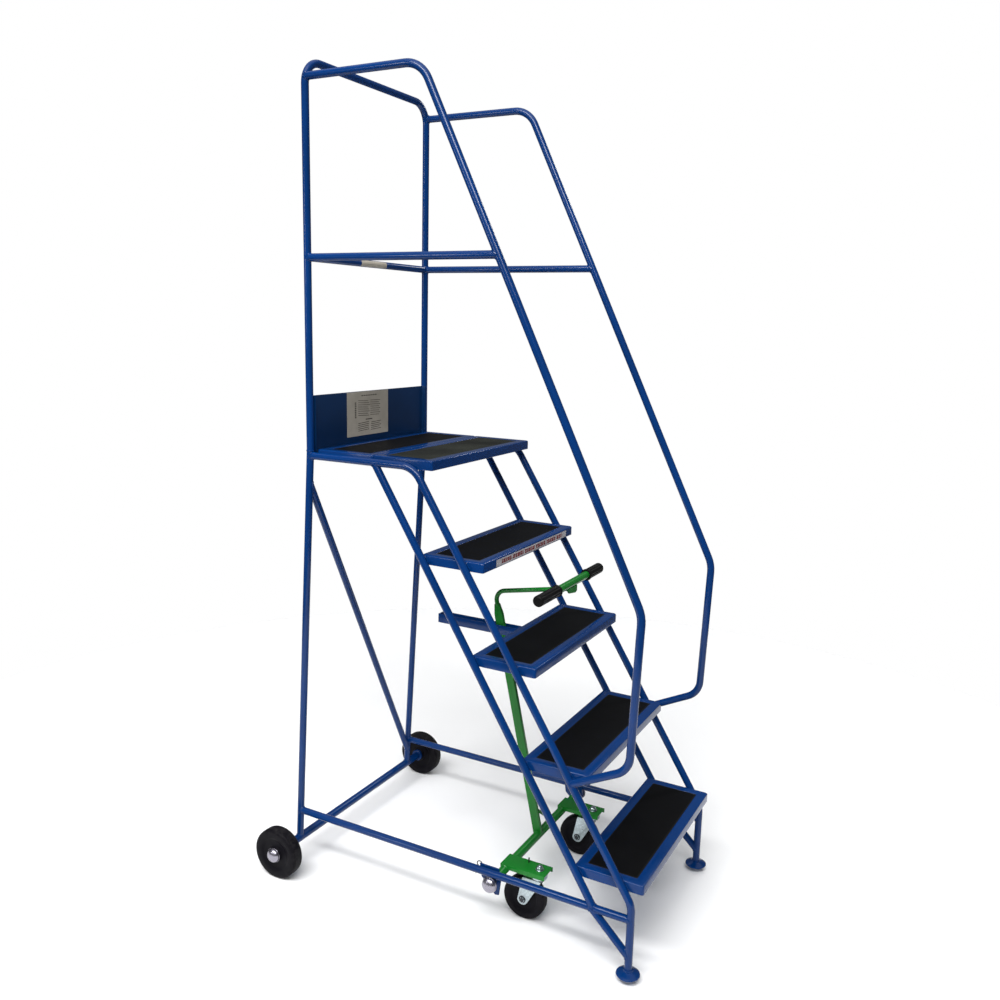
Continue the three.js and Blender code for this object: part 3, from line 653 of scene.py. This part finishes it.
def side_frames():
    welds = Shape()
    for side, s in SIDES:
        routes = side_routes(s * SIDE_X)
        for name, (corners, radii) in routes.items():
            node = f"{side}_{name}"
            shape = Shape()
            tube(shape, bent_route(corners, radii))
            piece(node + "_tube", shape, "frame", BLUE, (node,))
        side_welds(welds, routes)
        foot(side, s * SIDE_X, welds)
    piece("side_frame_welds", welds, "frame", BLUE)


def foot(side, x, welds):
    """A pressed disc with a rolled rim and a raised neck, welded under the front leg."""
    low, high, rim = FOOT_BASE_Z, FOOT_TOP_Z, FOOT_R
    profile = [
        (0, low + 1),
        (rim - 7, low + 1),
        (rim - 3, low),
        (rim - 1, low + 0.6),
        (rim, low + 2.6),
        (rim - 0.8, low + 4.6),
        (rim - 3, low + 6),
        (rim - 8, low + 8),
        (rim - 14, low + 10.2),
        (14, low + 11.6),
        (12, high - 0.4),
        (11, high),
        (0, high),
    ]
    wear = [0, 0, 1, 1, 1, 0.8, 0.3, 0, 0, 0, 0, 0, 0]
    shape = Shape()
    turned(shape, profile, Vector((x, FRONT_LEG_Y, 0)), Z, 72, wear=wear)
    piece(side + "_foot_disc", shape, "frame", BLUE, (side + "_foot",))
    ring_weld(welds, Vector((x, FRONT_LEG_Y, high + 0.4)), Z, TUBE_R + 0.6, 2.6)


# ---- rear frame -------------------------------------------------------------------
def rear_frame():
    hoop = [
        Vector((-SIDE_X, POST_Y, HOOP_FOOT_Z)),
        Vector((-SIDE_X, POST_Y, HOOP_TOP_Z)),
        Vector((SIDE_X, POST_Y, HOOP_TOP_Z)),
        Vector((SIDE_X, POST_Y, HOOP_FOOT_Z)),
    ]
    top = Vector((-SIDE_X, rear_leg_y(BRACE_TOP_Z), BRACE_TOP_Z))
    base = Vector((SIDE_X, rear_leg_y(BRACE_BASE_Z), BRACE_BASE_Z))
    axle_end = WHEEL_INNER_X - 0.6
    tubes = {
        "rear_hoop": (hoop, (HOOP_BEND, HOOP_BEND)),
        "rear_mid_rail": ([Vector((s * SIDE_X, POST_Y, MID_RAIL_Z)) for s in (-1, 1)], ()),
        "rear_axle_tube": ([Vector((s * axle_end, AXLE_Y, WHEEL_R)) for s in (-1, 1)], ()),
        "rear_diagonal_brace": ([top, base], ()),
    }
    for name, (corners, radii) in tubes.items():
        shape = Shape()
        tube(shape, bent_route(corners, radii), AXLE_TUBE_R if "axle" in name else TUBE_R)
        piece(name + "_bar", shape, "frame", BLUE, (name,))
    welds = Shape()
    leg = Vector((0, rear_leg_y(0) - rear_leg_y(1), -1))
    for s in (-1, 1):
        weld(welds, Vector((s * SIDE_X, POST_Y, MID_RAIL_Z)), X * -s, Z)
    weld(welds, top, base - top, leg)
    weld(welds, base, top - base, leg)
    piece("rear_frame_welds", welds, "frame", BLUE)
    axle = Shape()
    reach = WHEEL_INNER_X + WHEEL_WIDTH + 7
    sweep(axle, bent_route([Vector((s * reach, AXLE_Y, WHEEL_R)) for s in (-1, 1)]), circle(AXLE_R, 32))
    piece("rear_axle_rod", axle, "frame", STEEL, ("rear_axle",))
    collars = Shape()
    for s in (-1, 1):
        profile = [(AXLE_TUBE_R - 0.4, 0), (17, 0), (19, 2), (19, 10), (18, 11), (AXLE_TUBE_R - 0.4, 11)]
        turned(collars, profile, Vector((s * (WHEEL_INNER_X - 12), AXLE_Y, WHEEL_R)), X * s, 56)
    piece("rear_axle_collars", collars, "frame", BLUE)


def kick_board():
    """A sheet folded forward at both ends, with a paper label on its front."""
    low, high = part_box("kick_board")
    low, high = low / MM, high / MM
    half = TRAY_SHEET / 2
    x, front, back = high.x - half, low.y, high.y - half
    middle = (low.z + high.z) / 2
    corners = [
        Vector((-x, front, middle)),
        Vector((-x, back, middle)),
        Vector((x, back, middle)),
        Vector((x, front, middle)),
    ]
    section = rounded_rect(half, (high.z - low.z) / 2, 0.9, 3)
    shape = Shape()
    sweep(shape, bent_route(corners, (3.2, 3.2), math.radians(15)), section, X)
    piece("kick_board_sheet", shape, "frame", KICK_BLUE, ("kick_board",))
    welds = Shape()
    for s in (-1, 1):
        for z in (low.z + 14, middle, high.z - 26):
            start = Vector((s * (high.x + 0.2), back - 4, z))
            seam(welds, start, start + Z * 16, Vector((-s * 0.4, -1, 0)), 1.8)
    piece("kick_board_welds", welds, "frame", KICK_BLUE)
    face = back - half
    label("kick_board_label", (-122, 83), (high.z - 132, high.z - 1), face)


def label(name, x_span, z_span, face, thick=0.35):
    """A paper label on a face that looks forward, with generic strokes in place of print."""
    x0, x1 = x_span
    z0, z1 = z_span
    paper = Shape()
    half_x, half_z = (x1 - x0) / 2, (z1 - z0) / 2
    centre = Vector(((x0 + x1) / 2, face, (z0 + z1) / 2))
    slab(paper, rounded_rect(half_x, half_z, 2), centre, X, Z, thick, 0.1)
    piece(name, paper, "frame", PAPER)
    ink = Shape()
    front = face - thick - 0.05

    def stroke(left, right, z, tall, fall=0.0):
        """A thin line, falling to the right by fall."""
        line = [(left, z), (right, z - fall), (right, z - fall + tall), (left, z + tall)]
        slab(ink, line, Vector((0, front, 0)), X, Z, 0.08, 0.02)

    def spot(part):
        return x0 + (x1 - x0) * part

    for k in range(7):
        stroke(spot(0.34 + 0.055 * k), spot(0.375 + 0.055 * k), z1 - 14, 3.4)
    for k in range(9):
        z = z1 - 34 - 5.4 * k
        stroke(spot(0.18), spot(0.215), z, 3.2)
    for row in range(8):
        z = z1 - 27 - 6.2 * row
        stroke(spot(0.26), spot(0.50 + 0.02 * (row % 3)), z, 1.5, 3.0)
        stroke(spot(0.55), spot(0.80 - 0.03 * (row % 2)), z - 1.2, 1.4, 1.8)
    stroke(spot(0.44), spot(0.60), z0 + 46, 2.6)
    for row in range(5):
        z = z0 + 36 - 5.6 * row
        stroke(spot(0.26), spot(0.52), z, 1.5, -2.6)
        stroke(spot(0.57), spot(0.82 - 0.04 * (row % 2)), z, 1.5, -1.8)
    piece(name + "_strokes", ink, "frame", INK)


def rail_label():
    """A small label wrapped round the front of the rear mid rail."""

    def loop(x):
        angles = [math.radians(a) for a in range(-58, 59, 8)]
        spots = [(TUBE_R + 0.3, t) for t in angles] + [(TUBE_R - 0.1, t) for t in reversed(angles)]
        return [Vector((x, POST_Y - r * math.cos(t), MID_RAIL_Z + r * math.sin(t))) for r, t in spots]

    shape = Shape()
    shape.bridge([loop(-60), loop(63)])
    piece("rear_rail_label", shape, "frame", PAPER)


# ---- treads and platform ------------------------------------------------------------
def tray(node):
    """A tray folded from sheet: rounded upper edges, a seat for the mat, open below."""
    low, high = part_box(node)
    low, high = low / MM, high / MM
    centre = (low + high) / 2
    half = (high - low) / 2
    bend = 3.4

    def loop(inset, z, corner):
        outline = rounded_rect(half.x - inset, half.y - inset, corner, 6)
        return [Vector((centre.x + a, centre.y + b, z)) for a, b in outline]

    loops = [
        loop(TRAY_SHEET, high.z - TRAY_SHEET * 2, 3),
        loop(TRAY_SHEET, low.z + 0.5, 3),
        loop(TRAY_SHEET - 0.5, low.z, 3.5),
        loop(0.5, low.z, 5.5),
        loop(0, low.z + 0.5, 6),
        loop(0, high.z - bend, 6),
    ]
    wear = [0, 0, 0.2, 0.5, 0.5, 0.1]
    for k in range(1, 6):
        t = math.radians(18 * k)
        loops.append(loop(bend * (1 - math.cos(t)), high.z - bend * (1 - math.sin(t)), 6 + bend * 0.3))
        wear.append((0.4, 0.9, 1, 0.8, 0.3)[k - 1])
    loops += [
        loop(MAT_RIM - 1.2, high.z, 4),
        loop(MAT_RIM - 0.5, high.z - 0.3, 4),
        loop(MAT_RIM, high.z - 1.0, 3.5),
        loop(MAT_RIM, high.z - TRAY_SHEET, 3.5),
    ]
    wear += [0.35, 0.8, 0.4, 0]
    shape = Shape()
    shape.bridge(loops, wear=wear)
    piece(node + "_sheet", shape, "frame", BLUE, (node,))


def mat(node):
    """A gritted rubber mat with a worn, softened edge."""
    low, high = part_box(node)
    low, high = low / MM, high / MM
    centre = (low + high) / 2
    half = (high - low) / 2

    def loop(inset, z):
        outline = rounded_rect(half.x - inset, half.y - inset, 3, 4)
        return [Vector((centre.x + a, centre.y + b, z)) for a, b in outline]

    shape = Shape()
    shape.bridge(
        [loop(0.6, low.z), loop(0, high.z - 0.8), loop(0.3, high.z - 0.2), loop(1, high.z), loop(5, high.z)],
        wear=[0, 0.4, 1, 0.8, 0],
    )
    # The front platform mat is greyed as a painted reflection of light glancing off it.
    look = PAINTED_REFLECTION_MAT if node == "platform_front_mat" else MAT
    piece(node + "_grit", shape, "frame", look, (node,))


def tray_welds(shape, node):
    """Short beads where the side tubes pass the ends of a tread."""
    low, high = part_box(node)
    low, high = low / MM, high / MM
    for at_ref in (FRONT_STRINGER_Y, REAR_STRINGER_Y):
        for s in (-1, 1):
            for offset in (-9, 9):
                ends = []
                for z in (low.z + 2, high.z - 1):
                    y = stringer_y(at_ref, z) + offset * 1.1
                    ends.append(Vector((s * (high.x + 1.0), min(max(y, low.y + 2), high.y - 2), z)))
                seam(shape, ends[0], ends[1], Vector((s * 0.3, offset, 0)).normalized(), 2.3)


def treads():
    welds = Shape()
    names = [f"tread_{i}" for i in range(1, 5)]
    for node in names:
        tray(node)
        mat(node + "_mat")
        tray_welds(welds, node)
    for where in ("front", "rear"):
        tray(f"platform_{where}_tray")
        mat(f"platform_{where}_mat")
        low, high = (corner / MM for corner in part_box(f"platform_{where}_tray"))
        for s in (-1, 1):
            for k in range(3):
                start = Vector((s * (high.x + 0.6), low.y + 22 + k * 58, low.z + 0.5))
                seam(welds, start, start + Y * 26, Vector((0, 0, -1)), 2.2)
    piece("tread_welds", welds, "frame", BLUE)
    tread_label("tread_4")


BAR_TALL = 5
BAR_LEAN = 1.2


def tread_label(node):
    """A film strip along the front face of a tread, with red generic bars."""
    low, high = (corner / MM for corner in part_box(node))
    face = low.y
    middle = Vector((12, face, (low.z + high.z) / 2 - 1.2))
    half_x, half_z, thick = 218, 9.5, 0.3
    film = Shape()
    slab(film, rounded_rect(half_x, half_z, 1.5), middle, X, Z, thick, 0.08)
    piece("tread_label_strip", film, "frame", FILM)
    bars = Shape()
    left = -half_x + 30
    front = Vector((middle.x, face - thick - 0.03, middle.z))
    k = 0
    while left < half_x - 34:
        width = 6 + (k * 5) % 9
        for row in (-5.4, 0.3):
            right, top = left + width, row + BAR_TALL
            outline = [(left, row), (right, row), (right + BAR_LEAN, top), (left + BAR_LEAN, top)]
            slab(bars, outline, front, X, Z, 0.08, 0.02)
        left += width + (9 if k % 5 == 4 else 2.4)
        k += 1
    piece("tread_label_bars", bars, "frame", RED)


# ---- wheels --------------------------------------------------------------------------
def wheel_profile(bore, radius, width, hub):
    """Across a solid rubber wheel: boss, shallow dish, rounded shoulders and a grooved, crowned tread."""
    half = [
        (bore, 1.2),
        (hub, 1.2),
        (hub + 1.2, 2.0),
        (hub + 2.6, 5.2),
        (hub + 5.5, 6.4),
        (radius * 0.56, 6.2),
        (radius * 0.62, 4.4),
        (radius * 0.66, 2.2),
        (radius * 0.70, 1.2),
        (radius * 0.78, 0.3),
        (radius * 0.86, 0.3),
        (radius * 0.92, 0.7),
        (radius * 0.958, 2.0),
        (radius * 0.98, 3.8),
        (radius * 0.988, 5.2),
        (radius * 0.978, 5.8),
        (radius * 0.980, 6.6),
        (radius * 0.992, 7.4),
        (radius * 0.998, width * 0.3),
        (radius, width * 0.42),
    ]
    wear = [0] * 9 + [0.2, 0.3, 0.4, 0.5, 0.7, 0.8, 0.2, 0.2, 0.9, 1, 1]
    return half + [(r, width - h) for r, h in reversed(half)], wear + wear[::-1]


def cap_profile():
    """A pressed cap: a short rim and a dome."""
    bore = AXLE_R + 0.3
    rim = [(bore, 0.1), (CAP_R - 0.6, 0.1), (CAP_R, 0.7), (CAP_R, 1.9), (CAP_R - 0.4, 2.5)]
    dome = []
    for a in range(0, 90, 8):
        t = math.radians(a)
        dome.append((CAP_R * 0.965 * math.cos(t), 2.6 + (CAP_HEIGHT - 2.6) * math.sin(t)))
    return rim + dome + [(0, CAP_HEIGHT), (0, CAP_HEIGHT - 6), (bore, CAP_HEIGHT - 9)]


def cap(name, node, centre, axis):
    shape = Shape()
    turned(shape, cap_profile(), centre, axis, 72)
    piece(name, shape, "frame", CHROME, (node,), 50)


def rear_wheels():
    for side, s in SIDES:
        profile, wear = wheel_profile(9.8, WHEEL_R, WHEEL_WIDTH, 21)
        shape = Shape()
        turned(shape, profile, Vector((s * WHEEL_INNER_X, AXLE_Y, WHEEL_R)), X * s, 112, wear=wear)
        node = side + "_rear_wheel"
        piece(node + "_tyre", shape, side + "_wheel", TYRE, (node,))
        outer = s * (WHEEL_INNER_X + WHEEL_WIDTH + 0.3)
        cap(side + "_wheel_cap_dome", side + "_wheel_cap", Vector((outer, AXLE_Y, WHEEL_R)), X * s)


# ---- castor unit: pivot, arms and lever ------------------------------------------------
LEVER_UP = Vector((0, math.sin(LEVER_LEAN), math.cos(LEVER_LEAN)))


def pivot():
    axle = Shape()
    reach = PIVOT_CAP_X + 7
    sweep(axle, bent_route([PIVOT - X * reach, PIVOT + X * reach]), circle(AXLE_R, 32))
    piece("pivot_axle_rod", axle, "frame", STEEL, ("pivot_axle",))
    welds = Shape()
    for side, s in SIDES:
        outer = PIVOT + X * s * (PIVOT_CAP_X + 0.3)
        cap(side + "_pivot_cap_dome", side + "_pivot_cap", outer, X * s)
        eased(side + "_pivot_bracket", "frame", BLUE, 0.7)
        for y in (-166, -134):
            start = Vector((s * (SIDE_X - TUBE_R * 0.62), y, BOTTOM_RAIL_Z - TUBE_R * 0.95))
            seam(welds, start, start + Y * 20, Vector((-s * 0.5, 0, -1)), 2.2)
    piece("pivot_bracket_welds", welds, "frame", BLUE)
    retaining_clip()


def retaining_clip():
    """A spring clip hooked over the rear of the left bracket: an eye above, two legs below."""
    x = -BRACKET_INNER_X + 3
    eye = Vector((x, -107, 173))
    toward = Vector((0, 0.5, -0.87)).normalized()
    aside = Vector((0, 0.87, 0.5)).normalized()
    radius = 7.6
    points, tangents = arc(eye, toward * radius * 0.6 - aside * radius * 0.8, X, 286, 28)
    points = [points[0] + toward * 30, *points, points[-1] + toward * 36]
    tangents = [-toward, *tangents, toward]
    shape = Shape()
    sweep(shape, (points, tangents), circle(1.3, 12), X)
    piece("pivot_retaining_clip", shape, "frame", CLIP)


def castor_frame():
    shape = Shape()
    half = BRACKET_INNER_X - 0.6
    tube(shape, bent_route([PIVOT - X * half, PIVOT + X * half]), AXLE_TUBE_R)
    piece("castor_cross_tube_bar", shape, "castor_frame", GREEN, ("castor_cross_tube",))
    eased("lever_tube", "castor_frame", GREEN, 1.6)
    welds = Shape()
    section = rounded_rect(LEVER_SIZE[1] / 2 - 0.8, LEVER_SIZE[0] / 2, 3, 6)
    weld(welds, PIVOT, LEVER_UP, X, section, AXLE_TUBE_R, 2.2)
    for side, s in SIDES:
        arm(side, s, welds)
    lever_strut(welds)
    handle(welds)
    piece("castor_frame_welds", welds, "castor_frame", GREEN)
    pin = Shape()
    sweep(pin, bent_route([Vector((-170, -208, 154)), Vector((-170, -208, 169))]), circle(2, 16))
    piece("castor_arm_pin", pin, "castor_frame", CLIP)


def arm(side, s, welds):
    """A folded channel over the cross tube, beaded where the tube comes out of its cheeks."""
    eased(side + "_castor_arm", "castor_frame", GREEN, 1.3, 4)
    for outer in (-1, 1):
        centre = Vector((s * ARM_X + outer * (ARM_HALF + 0.6), PIVOT.y, PIVOT.z))
        points, _ = arc(centre, Vector((0, AXLE_TUBE_R, 0)), X, 180, 22)
        points = [p for p in points if p.z > 144 and p.y < -143]
        bead(welds, points, [(p - centre) + X * outer * 6 for p in points], False, 2.0)


def lever_strut(welds):
    top = Vector((0, (PIVOT + LEVER_UP * 76).y, STRUT_TOP_Z))
    foot_point = Vector((STRUT_FOOT_X, PIVOT.y, PIVOT.z + 8))
    shape = Shape()
    sweep(shape, bent_route([top, foot_point]), circle(5, 24))
    piece("lever_strut_rod", shape, "castor_frame", GREEN, ("lever_strut",))
    weld(welds, Vector((STRUT_FOOT_X, PIVOT.y, PIVOT.z)), top - foot_point, X, circle(5, 24), AXLE_TUBE_R, 1.8)


def handle(welds):
    foot_point = PIVOT + LEVER_UP * (LEVER_LENGTH - 6)
    corner = PIVOT + LEVER_UP * HANDLE_ROD_CORNER
    end = Vector((0, HANDLE_BAR.y, HANDLE_ROD_END_Z))
    rod = Shape()
    section = circle(HANDLE_ROD_R, 32)
    route = bent_route([foot_point, corner, end], (HANDLE_ROD_BEND,), math.radians(5))
    sweep(rod, route, section)
    piece("handle_rod_bar", rod, "castor_frame", GREEN, ("handle_rod",))
    bar = Shape()
    tube(bar, bent_route([HANDLE_BAR - X * HANDLE_HALF, HANDLE_BAR + X * HANDLE_HALF]), HANDLE_BAR_R, 36)
    piece("handle_crossbar_tube", bar, "castor_frame", GREEN, ("handle_crossbar",))
    lug = Shape()
    outline = [(-42, 1), (26, 1), (26, -15), (16, -19), (-26, -12)]
    slab(lug, outline, HANDLE_BAR + Vector((0, -6, -HANDLE_BAR_R + 2)), X, Z, 4, 0.8)
    piece("handle_lug_plate", lug, "castor_frame", GREEN)
    weld(welds, HANDLE_BAR, corner - end, X, section, 10, 1.6)
    ring_weld(welds, PIVOT + LEVER_UP * LEVER_LENGTH, LEVER_UP, HANDLE_ROD_R + 0.2, 1.6)
    for name, inner, outer in GRIPS:
        grip(name, inner, outer)


def grip(name, inner, outer):
    """A sleeve with a flange, lengthwise flutes and a rounded, closed end."""
    length = abs(outer - inner)
    bore = HANDLE_BAR_R + 0.3
    flange = [(bore, 0), (GRIP_R, 0), (GRIP_R + 1.5, 0.8), (GRIP_R + 1.5, 3.4), (GRIP_R - 0.2, 4.6)]
    body = [(GRIP_R, 7 + (length - 20) * k / 14) for k in range(15)]
    end = [
        (GRIP_R * math.cos(math.radians(a)) ** 0.5, length - 7 + 7 * math.sin(math.radians(a)))
        for a in range(12, 90, 13)
    ]
    socket = HANDLE_HALF + 0.3 - abs(inner)
    profile = flange + body + end + [(0, length), (0, socket), (bore, socket)]

    def fluted(r, t, h):
        deep = 1.3 if 8 < h < length - 6 and r > GRIP_R - 1 else 0
        ring = 0.5 if deep and (h % 24) < 6 else 1
        return r - deep * ring * (0.5 - 0.5 * math.cos(14 * t))

    shape = Shape()
    direction = X if outer > 0 else -X
    turned(shape, profile, HANDLE_BAR + X * inner, direction, 144, fluted)
    piece(name + "_sleeve", shape, "castor_frame", GRIP, (name,), 45)


# ---- castors ------------------------------------------------------------------------------
def hexagon(shape, centre, axis, radius, height):
    """A hexagon nut or bolt head with chamfered corners."""
    u = square_to(axis)
    v = axis.normalized().cross(u)

    def ring(r, h):
        return [centre + axis * h + (u * math.cos(t) + v * math.sin(t)) * r for t in ring_angles(6)]

    chamfer = radius * 0.1
    small = radius - chamfer
    loops = [ring(small, 0), ring(radius, chamfer), ring(radius, height - chamfer), ring(small, height)]
    shape.bridge(loops)


def castor_head(side, s):
    """Plate and swivel race under the arm, with washer, nut and stud above it."""
    at = Vector((s * ARM_X, STUD_Y, 0))
    top = ARM_TOP_Z
    race = [
        (0, FORK_CROWN_Z + 0.3),
        (17, FORK_CROWN_Z + 0.3),
        (20.5, FORK_CROWN_Z + 1.2),
        (22, FORK_CROWN_Z + 3.4),
        (22, 139),
        (21, 140.5),
        (22.6, 141.6),
        (23.6, 144),
        (24, 147),
        (24, top - 3.5),
        (0, top - 3.5),
    ]
    washer = [(0, 0.1), (11.6, 0.1), (12, 0.5), (12, 1.5), (11.6, 1.9), (0, 1.9)]
    washer = [(r, top + h) for r, h in washer]
    shape = Shape()
    turned(shape, race, at, Z, 64)
    turned(shape, washer, at, Z, 40)
    hexagon(shape, at + Z * (top + 1.9), Z, 9.5, 7)
    thread = [(0, top + 8)]
    for k in range(5):
        thread += [(4.3, top + 8.2 + k * 0.95), (5, top + 8.6 + k * 0.95)]
    thread += [(4.2, top + 13), (0, top + 13)]
    turned(shape, thread, at, Z, 32)
    node = side + "_castor_head"
    piece(node + "_race", shape, "castor_frame", ZINC, (node,))


def castor_fork(side, s):
    """Pressed cheeks and crown from the CAD shape, with washers, bolt head and nut."""
    body = side + "_castor"
    eased(side + "_castor_fork", body, ZINC, 0.6, 2)
    shape = Shape()
    for outer in (-1, 1):
        axis = X * outer
        face = Vector((s * ARM_X + outer * FORK_REACH, CASTOR_Y, CASTOR_R))
        washer = [(0, 0), (10, 0), (10.4, 0.4), (10.4, 1.2), (10, 1.6), (0, 1.6)]
        turned(shape, washer, face - axis * 0.1, axis, 36)
        hexagon(shape, face + axis * 1.2, axis, 7.6, 4.2)
    # The bolt heads, nuts and washers take the dark steel finish, darker than the zinc fork: painted shade of
    # the dark bolt hole at the fork's foot.
    piece(body + "_bolt", shape, body, CLIP)


def castor_wheel(side, s):
    profile, wear = wheel_profile(5.3, CASTOR_R, CASTOR_WIDTH, 16)
    shape = Shape()
    start = Vector((s * ARM_X - CASTOR_WIDTH / 2, CASTOR_Y, CASTOR_R))
    turned(shape, profile, start, X, 96, wear=wear)
    node = side + "_castor_wheel"
    piece(node + "_tyre", shape, side + "_castor_roller", TYRE, (node,))


# ---- floor, light and camera -----------------------------------------------------------------
def floor():
    """A pale disc; beyond its edge the lens sees the white surround."""
    points = [Vector((x, y, 0)) * MM for x, y in circle(FLOOR_R, 64)]
    mesh = bpy.data.meshes.new("floor")
    mesh.from_pydata(points, [], [list(range(len(points)))])
    made = bpy.data.objects.new("floor", mesh)
    bpy.context.scene.collection.objects.link(made)
    f = Finish("floor_paper")
    base = f.blend(f.span(f.noise(1.5, 3), 0.3, 0.7), tint(247, 247, 247), tint(250, 250, 250))
    mesh.materials.append(f.set(Base_Color=base, Roughness=0.9))


def softbox(name, at, toward, size, power):
    """A rectangular lamp, hidden from the lens."""
    lamp = bpy.data.lights.new(name, "AREA")
    lamp.shape = "RECTANGLE"
    lamp.size, lamp.size_y = size
    lamp.energy = power
    made = bpy.data.objects.new(name, lamp)
    made.location = at
    made.rotation_euler = (Vector(toward) - Vector(at)).to_track_quat("-Z", "Y").to_euler()
    made.visible_camera = False
    bpy.context.scene.collection.objects.link(made)


def studio():
    """White all round for the lens; a dim surround and a few soft boxes for the light itself."""
    world = bpy.data.worlds.new("studio")
    world.use_nodes = True
    tree = world.node_tree
    dim = tree.nodes["Background"]
    dim.inputs["Color"].default_value = (0.92, 0.96, 1, 1)
    dim.inputs["Strength"].default_value = 0.15
    white = tree.nodes.new("ShaderNodeBackground")
    white.inputs["Strength"].default_value = 1.0
    white.inputs["Color"].default_value = (1, 1, 1, 1)
    path = tree.nodes.new("ShaderNodeLightPath")
    mix = tree.nodes.new("ShaderNodeMixShader")
    tree.links.new(path.outputs["Is Camera Ray"], mix.inputs["Fac"])
    tree.links.new(dim.outputs["Background"], mix.inputs[1])
    tree.links.new(white.outputs["Background"], mix.inputs[2])
    tree.links.new(mix.outputs["Shader"], tree.nodes["World Output"].inputs["Surface"])
    bpy.context.scene.world = world
    bpy.context.scene.view_settings.view_transform = "Standard"
    middle = (0, 0, 1.0)
    softbox("key", (-3.0, -0.4, 4.6), middle, (5.0, 0.8), 240)
    softbox("side", (-4.2, 2.6, 2.2), middle, (0.5, 1.2), 20)
    softbox("far_side", (3.6, -0.6, 3.6), middle, (0.5, 0.5), 12)
    daylight("broad_left", (-0.7, -0.15, 1), 1.35, 60)
    daylight("broad_top", (0.05, 0.1, 1), 0.85, 80)


def daylight(name, origin, strength, spread):
    """Even light from far away, which reaches the whole floor alike. spread is its width in degrees."""
    lamp = bpy.data.lights.new(name, "SUN")
    lamp.energy = strength
    lamp.angle = math.radians(spread)
    made = bpy.data.objects.new(name, lamp)
    made.rotation_euler = Vector(origin).to_track_quat("Z", "Y").to_euler()
    bpy.context.scene.collection.objects.link(made)


# The camera of the photograph, in metres and degrees, as fitted to the object.
LENS_MM = 33.831
CAMERA_AT = (-2.3132, -1.2473, 1.6293)
CAMERA_TURN = (79.262, -1.295, -61.391)


def camera():
    lens = bpy.data.cameras.new("camera")
    lens.sensor_width = 36
    lens.lens = LENS_MM
    made = bpy.data.objects.new("camera", lens)
    made.location = CAMERA_AT
    made.rotation_euler = [math.radians(a) for a in CAMERA_TURN]
    bpy.context.scene.collection.objects.link(made)
    bpy.context.scene.camera = made


camera()
studio()
floor()
side_frames()
rear_frame()
kick_board()
rail_label()
treads()
eased("lever_guide", "frame", BLUE, 0.9)
rear_wheels()
pivot()
castor_frame()
for side_name, sign in SIDES:
    castor_head(side_name, sign)
    castor_fork(side_name, sign)
    castor_wheel(side_name, sign)
